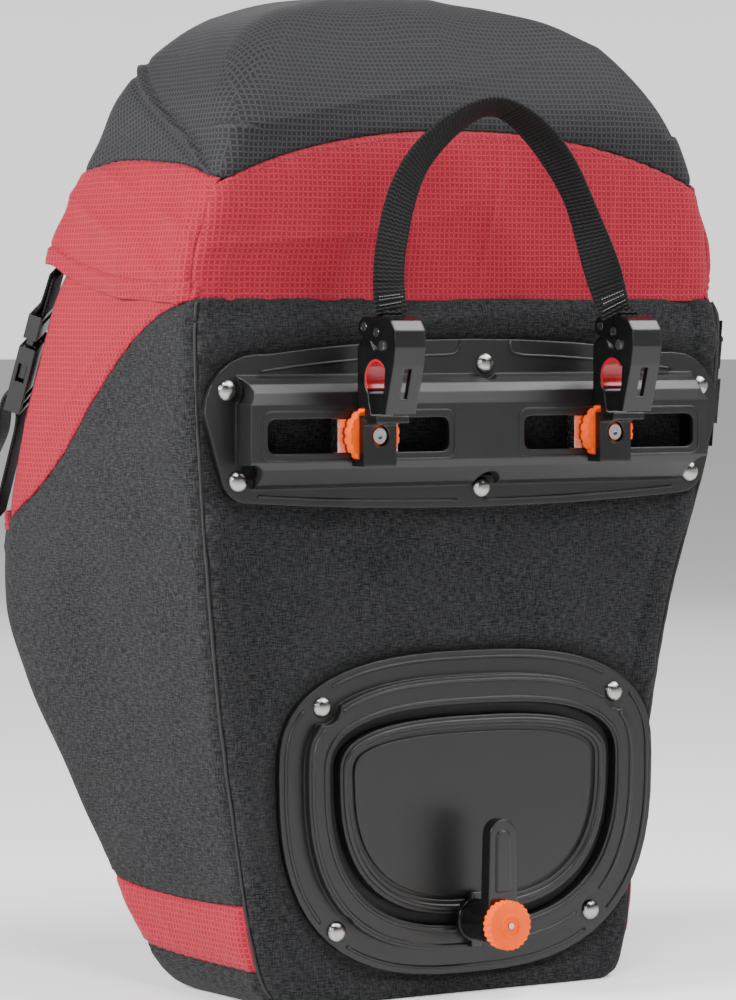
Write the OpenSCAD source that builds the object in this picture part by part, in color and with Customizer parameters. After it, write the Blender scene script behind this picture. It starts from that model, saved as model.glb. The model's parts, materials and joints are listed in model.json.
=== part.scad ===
// Bicycle pannier bag with a hinged lid, two rail hooks, a carrying handle that
// opens both hook latches, and a stabiliser arm that runs in a track.
// The flat base stands on z = 0. The rack side faces -Y.

/* [Bag body] */
// Y of the outer face of the padded back panel
back_y = -50; // [-55:1:-45]
// Thickness of the padded fabric walls
wall_t = 3; // [2:0.5:3.5]
// Height where the body panels end under the lid
body_top = 336; // [334:1:337]
// Radius of the body's front corners in plan
front_r = 24; // [18:1:28]
// Radius of the body's rear corners in plan
rear_r = 10; // [6:1:12]

/* [Lid] */
// Height of the lid's lower edge
lid_bottom = 339; // [338:0.5:341]
// Height of the hinge line along the top of the back band
hinge_z = 423; // [422.5:0.5:425]
// Height of the seam between the lid's skirt and its top
skirt_seam = 402; // [395:1:408]

/* [Rack hooks] */
// Distance of each hook from the middle of the bag
hook_x = 69; // [45:1:95]
// Height of the rack rail's axis
rail_z = 301.5; // [300:0.5:303]
// Radius of the rack rail that the saddle inserts fit
rail_r = 8; // [7.5:0.1:8.2]
// Radius of the clamping thumbwheels
wheel_r = 14; // [13:0.5:14.5]

/* [Stabiliser arm] */
// Height of the arm's pivot above the base
arm_z = 37; // [37:0.1:37.4]
// X of the arm's pivot
arm_x = -2; // [-10:1:10]
// Radius of the arm's clamping knob
knob_r = 12; // [10:0.5:12.5]

/* [Webbing] */
// Width of all webbing
web_w = 20; // [18:1:22]
// Thickness of all webbing
web_t = 1.8; // [1.4:0.1:2]

/* [Hidden] */
$fn = 40;
EPS = 0.01;
GAP = 0.4;

FABRIC = [0.25, 0.25, 0.27];
RED = [0.75, 0.15, 0.2];
BLACK = [0.09, 0.09, 0.1];
PLASTIC = [0.16, 0.16, 0.17];
ORANGE = [1, 0.42, 0.12];
STEEL = [0.75, 0.75, 0.78];

// Body at heights above the base: half width on the left, half width on the right
// (cut away low down, for the rider's heel) and front depth
WIDTHS = [[0, 106], [4, 114], [12, 120], [30, 126], [75, 134], [150, 145],
    [235, 153], [300, 157], [326, 156], [body_top, 151]];
RIGHTS = [[0, 86], [4, 93], [12, 97], [30, 101], [75, 106], [115, 112], [150, 118],
    [185, 126], [206, 132], [235, 142], [263, 150.5], [300, 155], [326, 157], [body_top, 151]];
FRONTS = [[0, 50], [4, 54], [12, 60], [30, 71], [75, 98], [115, 122], [150, 148],
    [185, 164], [206, 161], [235, 149], [263, 135], [300, 117], [326, 101], [body_top, 93]];
LEVELS = [0, 4, 12, 30, 75, 115, 150, 185, 206, 235, 263, 300, 326, body_top];
// Front pocket: front depth at heights above the base
POCKET = [[24, 72], [75, 108], [115, 135], [150, 162], [172, 173], [200, 177], [231, 176]];
POCKET_LEVELS = [24, 75, 115, 150, 172, 200, 231];
pocket_top = 231;
hem_h = 9;
// Lid: half width, rear and front depth and plan corner radius at heights
LID_WIDTHS = [[lid_bottom, 149], [352, 152], [370, 150], [385, 145], [402, 138], [420, 131],
    [440, 122], [456, 110], [468, 96], [478, 76], [485, 52], [488.5, 26]];
LID_REARS = [[lid_bottom, -50], [402, -50], [hinge_z + 1, -50], [440, -45], [456, -34], [468, -22],
    [478, -8], [485, 8], [488.5, 22]];
LID_FRONTS = [[lid_bottom, 107], [352, 110], [370, 107], [385, 102], [402, 97], [420, 93],
    [440, 88], [456, 82], [468, 75], [478, 66], [485, 54], [488.5, 40]];
LID_RADII = [[lid_bottom, 26], [420, 28], [456, 26], [478, 20], [488.5, 8]];
LID_LEVELS = [lid_bottom, 352, 370, 385, 402, 420, 440, 456, 468, 478, 485, 488.5];
band_y = back_y + 6;

// Upper plate
flange_y = back_y - 4;
plate_y = back_y - 18;
skin_t = 3;
slot_x0 = 22;
slot_x1 = 125;
slot_z0 = 266;
slot_z1 = 282.5;
slot_z = (slot_z0 + slot_z1) / 2;
UPPER_RIVETS = [[-139, 296], [139, 296], [-133, 253], [133, 253], [8, 308], [6, 247.6]];
// Lower plate: half width, top height and bottom height of each outline
shield_z = 112;
shield_n = 2.7;
SHIELD_OUT = [110, 168, 10];
SHIELD_STEP = [96, 156, 22];
SHIELD_TRACK_OUT = [84.5, 142.5, 34];
SHIELD_TRACK_IN = [78.5, 136.5, 40];
SHIELD_RECESS = [72, 130.5, 46.5];
track_floor_y = back_y - 2;
lower_y = back_y - 8.5;
LOWER_RIVETS = [[-86, 144], [86, 144], [-78, 35.5], [72, 35.5]];
rivet_r = 5.15;
shank_r = 2;
board_t = 2.5;
board_inset = 12;

// Hook: all profiles are in u (out from the plate) and v (up from the rail axis)
rail_u = 16;
hook_half = 9.2;
latch_half = 8.5;
core_half = 6;
insert_t = 1.3;
seat_r = rail_r + insert_t;
pivot_u = 9.7;
pivot_v = 24.6;
pin_r = 2;
strap_u = 20.5;
strap_v = 22;
wheel_v = slot_z - rail_z;
wheel_u0 = 0.9;
wheel_t = 5.5;
screw_r = 2.5;
fit = 0.05;
screw_seat = 8;
nut_half = 17;

// Stabiliser arm
foot_y = lower_y - 0.4;
arm_back_y = -78;
arm_front_y = -85;
arm_len = 51;

// Buckles: a frame on each front corner that leans with the bag's front edge
corner_at = [-152, 93.3, 334];
corner_lean = 28;
corner_turn = 45;

// ---------- helpers ----------
function arc(c, r, a0, a1, n) =
    [for (i = [0:n]) c + r * [cos(a0 + (a1 - a0) * i / n), sin(a0 + (a1 - a0) * i / n)]];
function mirrored(p) = concat(p, [for (i = [len(p) - 1:-1:0]) [-p[i][0], p[i][1]]]);
// Rounded rectangle in plan, as one ring of a loft: half widths w on the left, wr on the right
function ring(w, yr, yf, rr, rf, z, wr) = [for (p = concat(
        arc([wr - rf, yf - rf], rf, 0, 90, 4), arc([-w + rf, yf - rf], rf, 90, 180, 4),
        arc([-w + rr, yr + rr], rr, 180, 270, 3), arc([wr - rr, yr + rr], rr, 270, 360, 3)))
    [p[0], p[1], z]];
function width(side, z) = lookup(z, side > 0 ? RIGHTS : WIDTHS);
function signed_pow(v, p) = sign(v) * pow(abs(v), p);
// Shield outline: a superellipse that is deeper below its widest line
function shield(s, n = 60) = [for (i = [0:n - 1]) let (a = 360 * i / n)
    [s[0] * signed_pow(cos(a), 2 / shield_n),
     shield_z + (sin(a) > 0 ? s[1] - shield_z : shield_z - s[2]) * signed_pow(sin(a), 2 / shield_n)]];
// Stack of rings with the same number of points, closed at both ends
module loft(rings) {
    n = len(rings[0]);
    m = len(rings);
    polyhedron(
        points = [for (r = rings) each r],
        faces = concat(
            [[for (i = [0:n - 1]) i]],
            [for (k = [0:m - 2]) for (i = [0:n - 1])
                each [[k * n + i, (k + 1) * n + i, (k + 1) * n + (i + 1) % n],
                      [k * n + i, (k + 1) * n + (i + 1) % n, k * n + (i + 1) % n]]],
            [[for (i = [n - 1:-1:0]) (m - 1) * n + i]]));
}
// Extrudes an XZ outline from y0 to y1
module xz(y0, y1) {
    translate([0, y1, 0]) rotate([90, 0, 0]) linear_extrude(y1 - y0) children();
}
// Extrudes a YZ outline from x0 to x1
module yz(x0, x1) {
    translate([x0, 0, 0]) rotate([90, 0, 90]) linear_extrude(x1 - x0) children();
}
// Extrudes a hook profile (u, v) from x0 to x1
module uv(x0, x1) {
    mirror([0, 1, 0]) yz(x0, x1) children();
}
module rod_x(u, v, r, x0, x1) {
    translate([x0, -u, v]) rotate([0, 90, 0]) cylinder(r = r, h = x1 - x0);
}
module rod_y(x, z, r, y0, y1) {
    translate([x, y1, z]) rotate([90, 0, 0]) cylinder(r = r, h = y1 - y0);
}
module box(x0, x1, y0, y1, z0, z1) {
    translate([x0, y0, z0]) cube([x1 - x0, y1 - y0, z1 - z0]);
}

// ---------- bag body ----------
module body_solid(e, z_floor) {
    loft([for (z = LEVELS) ring(width(-1, z) - e, back_y + e, lookup(z, FRONTS) - e,
        max(rear_r - e, 1), front_r - e, z == 0 ? z_floor : z, width(1, z) - e)]);
}
module body_shell() {
    difference() {
        body_solid(0, 0);
        translate([0, 0, EPS]) body_solid(wall_t, -1);
        box(-200, 200, back_y - 1, back_y + wall_t, -2, 400);
        box(-200, 200, -60, 200, -2, wall_t);
    }
}
module side_zone(side) {
    scale([side, 1, 1]) xz(back_y, 200)
        polygon([for (z = LEVELS) [width(side, z) - front_r - 2, z == 0 ? -1 : z], [200, body_top], [200, -1]]);
}
// Red gusset: above the diagonal seam
module gusset_zone() {
    yz(-200, 200) polygon([[-40, 340], [-28, 332], [42, 289], [77, 259], [117, 235], [140, 227], [200, 222],
        [200, 345], [-40, 345]]);
}
PATCH_LOW = [[-51, 18], [0, 18.5], [55, 21.5], [100, 28]];
PATCH_HIGH = [[100, 58], [77, 54], [36, 50], [-3, 49], [-51, 51]];
// Red patch: between two curved seams near the base
module patch_zone() {
    yz(-200, 200) polygon(concat(PATCH_LOW, PATCH_HIGH));
}
module base_zone() {
    yz(-200, 200) polygon(concat([[-51, -2]], PATCH_LOW, [[100, -2]]));
}
module side_part(side) {
    intersection() {
        body_shell();
        side_zone(side);
    }
}
module side_panel(side) {
    color(FABRIC) difference() {
        side_part(side);
        gusset_zone();
        patch_zone();
        base_zone();
    }
}
module side_gusset(side) {
    color(RED) intersection() {
        side_part(side);
        gusset_zone();
    }
}
module lower_patch(side) {
    color(RED) intersection() {
        side_part(side);
        patch_zone();
    }
}
function body_outline(e) = concat(
    [for (z = LEVELS) [width(1, z) - rear_r * 0.3 - e, max(z, e)]],
    [for (i = [len(LEVELS) - 1:-1:0]) [rear_r * 0.3 + e - width(-1, LEVELS[i]), max(LEVELS[i], e)]]);
module rivet_holes(y0, y1) {
    for (p = concat(UPPER_RIVETS, LOWER_RIVETS)) rod_y(p[0], p[1], shank_r, y0, y1);
}
module back_panel() {
    color(FABRIC) difference() {
        xz(back_y, back_y + wall_t) polygon(body_outline(0));
        rivet_holes(back_y - 1, back_y + wall_t + 1);
    }
}
module stiffener_board() {
    color(BLACK) difference() {
        xz(back_y + wall_t, back_y + wall_t + board_t) polygon(body_outline(board_inset));
        rivet_holes(back_y, back_y + wall_t + board_t + 1);
    }
}
module front_panel() {
    color(FABRIC) difference() {
        body_shell();
        side_zone(-1);
        side_zone(1);
    }
}
module base_panel() {
    color(BLACK) {
        intersection() {
            body_solid(0, 0);
            box(-200, 200, back_y + wall_t, 200, 0, wall_t);
        }
        for (side = [-1, 1]) intersection() {
            side_part(side);
            base_zone();
        }
    }
}
module base_board() {
    color(BLACK) box(-98, 78, back_y + wall_t + board_t + 1, 40, wall_t, wall_t + 2);
}
module pocket_solid(e) {
    loft([for (z = POCKET_LEVELS) ring(width(-1, z) - 14 - e, 20, lookup(z, POCKET) - e, 4, front_r - e,
        z == pocket_top && e > 0 ? z + 1 : z, width(1, z) - 14 - e)]);
}
module pocket_shell() {
    difference() {
        pocket_solid(0);
        pocket_solid(2);
        body_solid(0, -1);
    }
}
module front_pocket() {
    color(FABRIC) difference() {
        pocket_shell();
        box(-200, 200, -60, 200, pocket_top - hem_h, 300);
    }
}
module pocket_hem() {
    color(RED) intersection() {
        pocket_shell();
        box(-200, 200, -60, 200, pocket_top - hem_h, 300);
    }
}
collar_low = 318;
collar_high = 360;
collar_half = 143.5;
module collar_ring(e) {
    loft([for (z = [collar_low, collar_high]) ring(collar_half - e, back_y + 8 + e, 84 - e, 8, 22,
        z + (z == collar_low ? -e : e), collar_half - e)]);
}
module collar() {
    color(BLACK) difference() {
        intersection() {
            collar_ring(0);
            union() {
                body_solid(wall_t + GAP, 0);
                box(-200, 200, -60, 200, body_top - 1, 400);
            }
        }
        collar_ring(1.5);
    }
}
module collar_cord() {
    color(STEEL) difference() {
        loft([for (z = [0, 3]) ring(collar_half - 0.5, back_y + 8.5, 83.5, 8, 22, collar_high + z,
            collar_half - 0.5)]);
        loft([for (z = [-1, 4]) ring(collar_half - 3.5, back_y + 11.5, 80.5, 5, 19, collar_high + z,
            collar_half - 3.5)]);
    }
}

// ---------- lid ----------
module lid_solid(e) {
    loft([for (z = LID_LEVELS) ring(lookup(z, LID_WIDTHS) - e, lookup(z, LID_REARS) + e,
        lookup(z, LID_FRONTS) - e, max(lookup(z, LID_RADII) * 0.45 - e, 1.5), lookup(z, LID_RADII) - e * 0.9,
        z == lid_bottom ? z - e : z - e * (z > 440 ? 1 : 0), lookup(z, LID_WIDTHS) - e)]);
}
module lid_shell() {
    difference() {
        lid_solid(0);
        lid_solid(wall_t);
    }
}
// Arched top edge of the back band
module band_zone(grow) {
    xz(back_y - 1, band_y + grow) polygon(concat([[160, 300], [160, 380 + grow]],
        [for (a = [0:10:180]) [148 * cos(a), 386 + grow + 35 * pow(sin(a), 0.7)]], [[-160, 380 + grow], [-160, 300]]));
}
module back_band() {
    color(RED) intersection() {
        lid_shell();
        band_zone(0);
    }
}
module lid_moving() {
    difference() {
        lid_shell();
        band_zone(0.8);
    }
}
module lid_top() {
    color(PLASTIC) intersection() {
        lid_moving();
        box(-200, 200, -60, 200, skirt_seam, 500);
    }
}
module lid_low() {
    difference() {
        lid_moving();
        box(-200, 200, -60, 200, skirt_seam, 500);
    }
}
module lid_skirt_side(side) {
    color(RED) intersection() {
        lid_low();
        scale([side, 1, 1]) box(120, 200, -60, 200, 300, 500);
    }
}
module lid_skirt_front() {
    color(RED) intersection() {
        lid_low();
        box(-120, 120, 0, 200, 300, 500);
    }
}

// ---------- plates on the rack side ----------
function upper_outline() = mirrored(concat(
    [for (x = [0:29:116]) [x, 320 - 7 * pow(x / 116, 2)]],
    arc([123, 285], 28, 90, 0, 6),
    arc([128, 256.5], 14, -8, -90, 4),
    [for (x = [96:-32:0]) [x, 238 + 4.5 * pow(x / 128, 2)]]));
// Cross-section of the raised box behind the hooks, as (y, z), shrunk by e
function plateau_section(e) = [[flange_y + 2 * e, 303 - e], [-58 + e, 301.5 - e], [-62.5 + e, 299 - e],
    [-66 + e, 295 - e * 0.6], [plate_y + e, 289], [plate_y + e, 262], [-66 + e, 258.5 + e * 0.5],
    [-59 + e, 251 + e], [flange_y + 2 * e, 249 + e]];
module slot_cut(side) {
    r = 4;
    scale([side, 1, 1]) xz(plate_y - 2, back_y + 1) polygon(concat(
        arc([slot_x1 - r, slot_z1 - r], r, 0, 90, 4), arc([slot_x0 + r, slot_z1 - r], r, 90, 180, 4),
        arc([slot_x0 + r, slot_z0 + r], r, 180, 270, 4), arc([slot_x1 - r, slot_z0 + r], r, 270, 360, 4)));
}
module upper_plate() {
    color(PLASTIC) difference() {
        union() {
            xz(flange_y, back_y) polygon(upper_outline());
            yz(-134, 134) polygon(plateau_section(0));
        }
        yz(-130, 130) polygon(concat(plateau_section(skin_t), [[back_y + 1, 254], [back_y + 1, 300]]));
        for (s = [-1, 1]) slot_cut(s);
        for (p = UPPER_RIVETS) rod_y(p[0], p[1], 8, plate_y - 1, flange_y);
        rivet_holes(plate_y - 1, back_y + 1);
    }
}
module rivets(list, face_y) {
    color(STEEL) for (p = list) translate([p[0], face_y, p[1]]) rotate([90, 0, 0]) {
        rotate_extrude() polygon(concat([[0, 0]], [for (a = [0:15:90]) [rivet_r * cos(a), 3.2 * sin(a)]]));
        translate([0, 0, face_y - back_y - wall_t - board_t]) cylinder(r = shank_r, h = back_y + wall_t + board_t - face_y);
    }
}
module rivet_backers() {
    color(STEEL) for (p = concat(UPPER_RIVETS, LOWER_RIVETS))
        rod_y(p[0], p[1], 6, back_y + wall_t + board_t, back_y + wall_t + board_t + 1);
}
module lower_plate() {
    color(PLASTIC) difference() {
        union() {
            xz(flange_y, back_y) polygon(shield(SHIELD_OUT));
            xz(lower_y, flange_y) polygon(shield(SHIELD_STEP));
        }
        difference() {
            xz(lower_y - 1, track_floor_y) polygon(shield(SHIELD_TRACK_OUT));
            xz(lower_y - 2, track_floor_y + 1) polygon(shield(SHIELD_TRACK_IN));
        }
        xz(lower_y - 1, lower_y + 1.6) polygon(shield(SHIELD_RECESS));
        for (p = LOWER_RIVETS) rod_y(p[0], p[1], 8.5, lower_y - 1, flange_y);
        rivet_holes(lower_y - 1, back_y + 1);
    }
}
module blank_badge() {
    color(BLACK) xz(lower_y + 0.4, lower_y + 1.6) polygon(shield([70, 128.5, 48.5]));
}

// ---------- rack hooks ----------
module at_hook(side) {
    translate([side * hook_x, plate_y, rail_z]) children();
}
module hook_body(side) {
    color(BLACK) at_hook(side) difference() {
        union() {
            // base block with the wheel inside
            box(-hook_half, hook_half, -11, -GAP, wheel_v - 14.5, -22);
            // shelf under the rail
            uv(-hook_half, hook_half) polygon([[GAP, -22], [12.3, -22], [22, -21], [22, -17.6], [GAP, -17.6]]);
            // spine, crown over the rail and pivot lug
            uv(-core_half, core_half) polygon(concat([[GAP, -18], [12.3, -18], [10, -9]],
                arc([rail_u, 0], seat_r - 1, 215, 35, 10), arc([rail_u, 0], 13.8, 35, 95, 5),
                [[11, 19], [6, 20], [GAP, 15]]));
            rod_x(pivot_u, pivot_v, 4, -3.2, 3.2);
            uv(-3.2, 3.2) polygon([[6, 13], [14.5, 12], [13.4, 23], [6, 23]]);
        }
        rod_x(rail_u, 0, seat_r, -20, 20);
        rod_x(pivot_u, pivot_v, pin_r + fit, -20, 20);
        rod_y(0, wheel_v, wheel_r + 0.5, -wheel_u0 - wheel_t - 0.5, -wheel_u0 + 0.5);
        rod_y(0, wheel_v, screw_r, -20, 1);
        rod_y(0, wheel_v, 5, -20, -screw_seat);
    }
}
module rail_insert(side) {
    color(RED) at_hook(side) difference() {
        intersection() {
            rod_x(rail_u, 0, seat_r, -core_half, core_half);
            uv(-20, 20) polygon(concat([[rail_u, 0]], arc([rail_u, 0], 14, 40, 215, 8)));
        }
        rod_x(rail_u, 0, rail_r, -20, 20);
    }
}
module hook_nut(side) {
    color(STEEL) at_hook(side) difference() {
        union() {
            box(-nut_half, nut_half, 0, skin_t + 0.5, wheel_v - 7.9, wheel_v + 7.9);
            box(-nut_half, nut_half, skin_t + GAP, skin_t + 3.4, wheel_v - 10.5, wheel_v + 10.5);
        }
        rod_y(0, wheel_v, screw_r, -1, 20);
    }
}
module hook_screw(side) {
    color(STEEL) at_hook(side) difference() {
        union() {
            rod_y(0, wheel_v, screw_r, -screw_seat, skin_t + 4.5);
            rod_y(0, wheel_v, 3.7, -screw_seat - 2.6, -screw_seat);
        }
        rod_y(0, wheel_v, 1.6, -20, -screw_seat - 1);
    }
}
module thumbwheel(side) {
    color(ORANGE) at_hook(side) difference() {
        rod_y(0, wheel_v, wheel_r, -wheel_u0 - wheel_t, -wheel_u0);
        rod_y(0, wheel_v, screw_r + fit, -20, 1);
        for (a = [0:20:340]) translate([0, 0, wheel_v]) rotate([0, a, 0]) rod_y(wheel_r + 0.5, 0, 1.2, -20, 1);
    }
}
// Outline of one cheek: pivot lobe, sloping cap, front flap
function cheek_outline() = concat(arc([pivot_u, pivot_v], 4.6, 265, 100, 8),
    [[25.6, 29.6], [33, 27.5], [36.6, 23], [37.2, 15], [35.5, 6], [28.5, -16.8], [23.5, -16.8],
     [27.2, -4], [28, 6], [25.5, 12], [20, 16], [14, 18.5]]);
module latch(side) {
    color(BLACK) at_hook(side) difference() {
        union() {
            for (s = [-1, 1]) scale([s, 1, 1]) uv(core_half + GAP, latch_half) polygon(cheek_outline());
            // cap over both cheeks, open behind for the webbing
            uv(-latch_half, latch_half) polygon([[25.6, 29.6], [33, 27.5], [36.6, 23], [37.2, 15],
                [33.2, 15], [32, 21], [28, 25.8], [25.6, 26.4]]);
            // front flap
            uv(-latch_half, latch_half) polygon([[37.2, 15], [35.5, 6], [28.5, -16.8], [25.6, -16.8],
                [31.6, 4], [33.2, 15]]);
        }
        rod_x(pivot_u, pivot_v, pin_r, -20, 20);
        rod_x(strap_u, strap_v, pin_r, -20, 20);
        box(-2.2, 2.2, -45, -20, -9.5, 4.6);
    }
}
module latch_pins(side) {
    color(STEEL) at_hook(side) {
        rod_x(pivot_u, pivot_v, pin_r, -latch_half, latch_half);
        rod_x(strap_u, strap_v, pin_r, -latch_half, latch_half);
        for (s = [-1, 1]) scale([s, 1, 1]) rod_x(25.6, 15.6, 2.5, latch_half, latch_half + 0.8);
    }
}
module latch_spring(side) {
    color(STEEL) at_hook(side) for (x = [3.8, 4.75, 5.7])
        translate([x, -pivot_u, pivot_v]) rotate([0, 90, 0]) rotate_extrude() translate([3.1, 0]) circle(0.4, $fn = 16);
}

// ---------- carrying handle ----------
handle_y = plate_y - strap_u;
handle_low = rail_z + 30.2;
handle_top = 434;
// Centre line: two legs that lean inwards and a round top
function handle_point(t) = [(hook_x - 4 * pow(sin(180 * t), 2)) * -cos(180 * t) * (1 - 0.08 * sin(180 * t)), handle_y,
    handle_low + (handle_top - handle_low) * pow(sin(180 * t), 0.8)];
// The webbing lies flat on the pins and stands on edge at the top
function handle_turn(t) = 90 * pow(sin(180 * t), 1.5);
function handle_ring(t) = let (
        d = handle_point(t + 0.001) - handle_point(t - 0.001),
        f = d / norm(d),
        flat = [f[2], 0, -f[0]],
        w = flat * cos(handle_turn(t)) + [0, 1, 0] * sin(handle_turn(t)),
        n = cross(f, w))
    [for (c = [[1, 1], [-1, 1], [-1, -1], [1, -1]]) handle_point(t) + w * c[0] * (web_w / 2 - 1) + n * c[1] * web_t / 2];
module carry_handle() {
    color(BLACK) loft([for (i = [0:28]) handle_ring(0.004 + 0.992 * i / 28)]);
}
// The webbing's stitched end: a loop round the latch's strap pin
module strap_end(side) {
    color(BLACK) at_hook(side) difference() {
        union() {
            rod_x(strap_u, strap_v, pin_r + web_t, -5.6, 5.6);
            box(-5.6, 5.6, -strap_u - web_t, -strap_u + web_t, strap_v, 29.6);
        }
        rod_x(strap_u, strap_v, pin_r, -20, 20);
    }
}

// ---------- side straps and buckles ----------
module at_corner(side) {
    scale([-side, 1, 1]) translate(corner_at) rotate([0, side > 0 ? -6 : 0, 0]) rotate([corner_lean, 0, 0]) rotate([0, 0, corner_turn]) children();
}
module buckle_male(side) {
    color(BLACK) at_corner(side) {
        difference() {
            box(-13, 13, 0, 7, -13, 0);
            box(-10.5, 10.5, -1, 8, -5.5, -2.5);
        }
        for (s = [-1, 1]) scale([s, 1, 1]) box(8.2, 10.6, 1.7, 5.3, -36, -13);
        box(-1.6, 1.6, 2.2, 4.8, -34, -13);
    }
}
module buckle_female(side) {
    color(BLACK) at_corner(side) difference() {
        box(-13, 13, -0.8, 7.8, -54, -18);
        box(-11, 11, 1.3, 5.7, -40, -17);
        for (s = [-1, 1]) scale([s, 1, 1]) box(10, 14, 1.3, 5.7, -37, -27);
        for (z = [-52, -46.5]) box(-10.5, 10.5, -2, 9, z, z + 3.5);
    }
}
module lid_webbing() {
    color(BLACK) for (side = [-1, 1]) at_corner(side) box(-web_w / 2, web_w / 2, 2, 2 + web_t, 0, 5);
}
// Loose end of a side strap, from the buckle's bars down
TAIL = [[0, 8.9, -53], [0, 10.5, -63], [0, 9, -77], [0, 11, -91], [0, 12.5, -105], [0, 10, -118]];
module strap(side) {
    color(BLACK) at_corner(side) {
        box(-web_w / 2, web_w / 2, -1, -1 + web_t, -118, -54.5);
        for (i = [0:len(TAIL) - 2]) hull() for (p = [TAIL[i], TAIL[i + 1]])
            translate(p - [web_w / 2, web_t / 2, 0.5]) cube([web_w, web_t, 1]);
    }
}

// ---------- zip on the right side ----------
zip_y = -33;
zip_z0 = 266;
zip_z1 = 330;
zip_lean = atan((width(1, 326) - width(1, 263)) / 63);
zip_x = width(1, zip_z1 - 30) + 1.4;
zip_low = zip_z0 - zip_z1 + 30;
module at_zip() {
    translate([zip_x, zip_y, zip_z1 - 30]) rotate([0, zip_lean, 0]) children();
}
module zip_tape() {
    color(BLACK) at_zip() {
        difference() {
            box(0.2, 1.7, -11, 11, zip_low, 28);
            box(0.9, 2, -3.6, 3.6, zip_low + 3, 25);
        }
        box(0.9, 1.9, -3.2, 3.2, zip_low + 3, 25);
    }
}
module zip_slider() {
    color(BLACK) at_zip() {
        difference() {
            box(2.3, 5.2, -4.5, 4.5, 14, 25);
            box(3.4, 4.6, -6, 6, 13, 21);
        }
        // eye and pin for the puller
        box(4.9, 7, -1.2, 1.2, 18, 22);
        translate([7.6, 0, 20]) rotate([90, 0, 0]) translate([0, 0, -3.4]) cylinder(r = 1.2, h = 6.8);
        translate([7.6, 0, 20]) rotate([90, 0, 0]) translate([0, 0, -1.2]) cylinder(r = 2, h = 2.4);
    }
}
module zip_pull() {
    color(BLACK) at_zip() difference() {
        union() {
            for (s = [-1, 1]) scale([1, s, 1]) {
                box(6.2, 9, 1.6, 3.2, 8, 20);
                translate([7.6, 3.2, 20]) rotate([90, 0, 0]) cylinder(r = 2, h = 1.6);
            }
            box(6.4, 9, -3.2, 3.2, 5, 12);
            box(6.9, 8.7, -1.3, 1.3, 0, 5);
            box(6.1, 9.1, -4.5, 4.5, -23, 0);
        }
        translate([7.6, 10, 20]) rotate([90, 0, 0]) cylinder(r = 1.2 + fit, h = 20);
    }
}

// ---------- stabiliser arm ----------
module arm_foot() {
    color(BLACK) {
        difference() {
            union() {
                rod_y(arm_x, arm_z, 10.8, foot_y - 4, foot_y);
                rod_y(arm_x, arm_z, 2.3, foot_y, track_floor_y - 0.6);
                for (s = [-1, 1]) box(arm_x - 3, arm_x + 3, foot_y - 4, foot_y, arm_z + s * 11.4 - 2, arm_z + s * 11.4 + 2);
            }
            rod_y(arm_x, arm_z, 1.5, -100, track_floor_y - 3);
        }
    }
}
module arm_screw() {
    color(STEEL) {
        rod_y(arm_x, arm_z, 1.5, arm_front_y - 7.2, track_floor_y - 3);
    }
}
module stabiliser_arm() {
    color(BLACK) difference() {
        union() {
            rod_y(arm_x, arm_z, 10, arm_front_y, foot_y - 4 - 0.35);
            xz(arm_front_y, arm_back_y) translate([arm_x, arm_z]) polygon(mirrored(concat(
                [[0, 0], [8.5, 0]], arc([0, arm_len - 7.3], 7.3, 0, 90, 6))));
            xz(arm_front_y - 1.2, arm_front_y) translate([arm_x, arm_z]) polygon(mirrored(concat(
                [[0, 16], [4, 16]], arc([0, arm_len - 9], 3.6, 0, 90, 6))));
        }
        rod_y(arm_x, arm_z, 1.55, -120, 0);
    }
}
module arm_knob() {
    color(ORANGE) difference() {
        rod_y(arm_x, arm_z, knob_r, arm_front_y - 6.4, arm_front_y - 0.4);
        rod_y(arm_x, arm_z, 1.55, -120, 0);
        for (a = [0:15:345]) translate([arm_x, 0, arm_z]) rotate([0, a, 0]) rod_y(knob_r + 0.6, 0, 1.2, -120, 0);
    }
}

back_panel();
stiffener_board();
base_panel();
base_board();
side_panel(-1);  // side_panel_left
side_panel(1);  // side_panel_right
side_gusset(-1);  // side_gusset_left
side_gusset(1);  // side_gusset_right
lower_patch(-1);  // lower_patch_left
lower_patch(1);  // lower_patch_right
front_panel();
front_pocket();
pocket_hem();
collar();
collar_cord();
back_band();
upper_plate();
rivets(UPPER_RIVETS, flange_y);  // upper_rivets
lower_plate();
rivets(LOWER_RIVETS, flange_y);  // lower_rivets
rivet_backers();
blank_badge();
zip_tape();
zip_slider();
zip_pull();
strap(-1);  // strap_left
strap(1);  // strap_right
buckle_female(-1);  // buckle_female_left
buckle_female(1);  // buckle_female_right
carry_handle();
strap_end(-1);  // strap_end_left
strap_end(1);  // strap_end_right
lid_top();
lid_skirt_side(-1);  // lid_skirt_left
lid_skirt_side(1);  // lid_skirt_right
lid_skirt_front();
lid_webbing();
buckle_male(-1);  // buckle_male_left
buckle_male(1);  // buckle_male_right
hook_body(-1);  // hook_body_left
hook_body(1);  // hook_body_right
rail_insert(-1);  // rail_insert_left
rail_insert(1);  // rail_insert_right
hook_nut(-1);  // hook_nut_left
hook_nut(1);  // hook_nut_right
hook_screw(-1);  // hook_screw_left
hook_screw(1);  // hook_screw_right
thumbwheel(-1);  // thumbwheel_left
thumbwheel(1);  // thumbwheel_right
latch(-1);  // latch_left
latch(1);  // latch_right
latch_pins(-1);  // latch_pins_left
latch_pins(1);  // latch_pins_right
latch_spring(-1);  // latch_spring_left
latch_spring(1);  // latch_spring_right
arm_foot();
arm_screw();
stabiliser_arm();
arm_knob();
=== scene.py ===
import math

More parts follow.
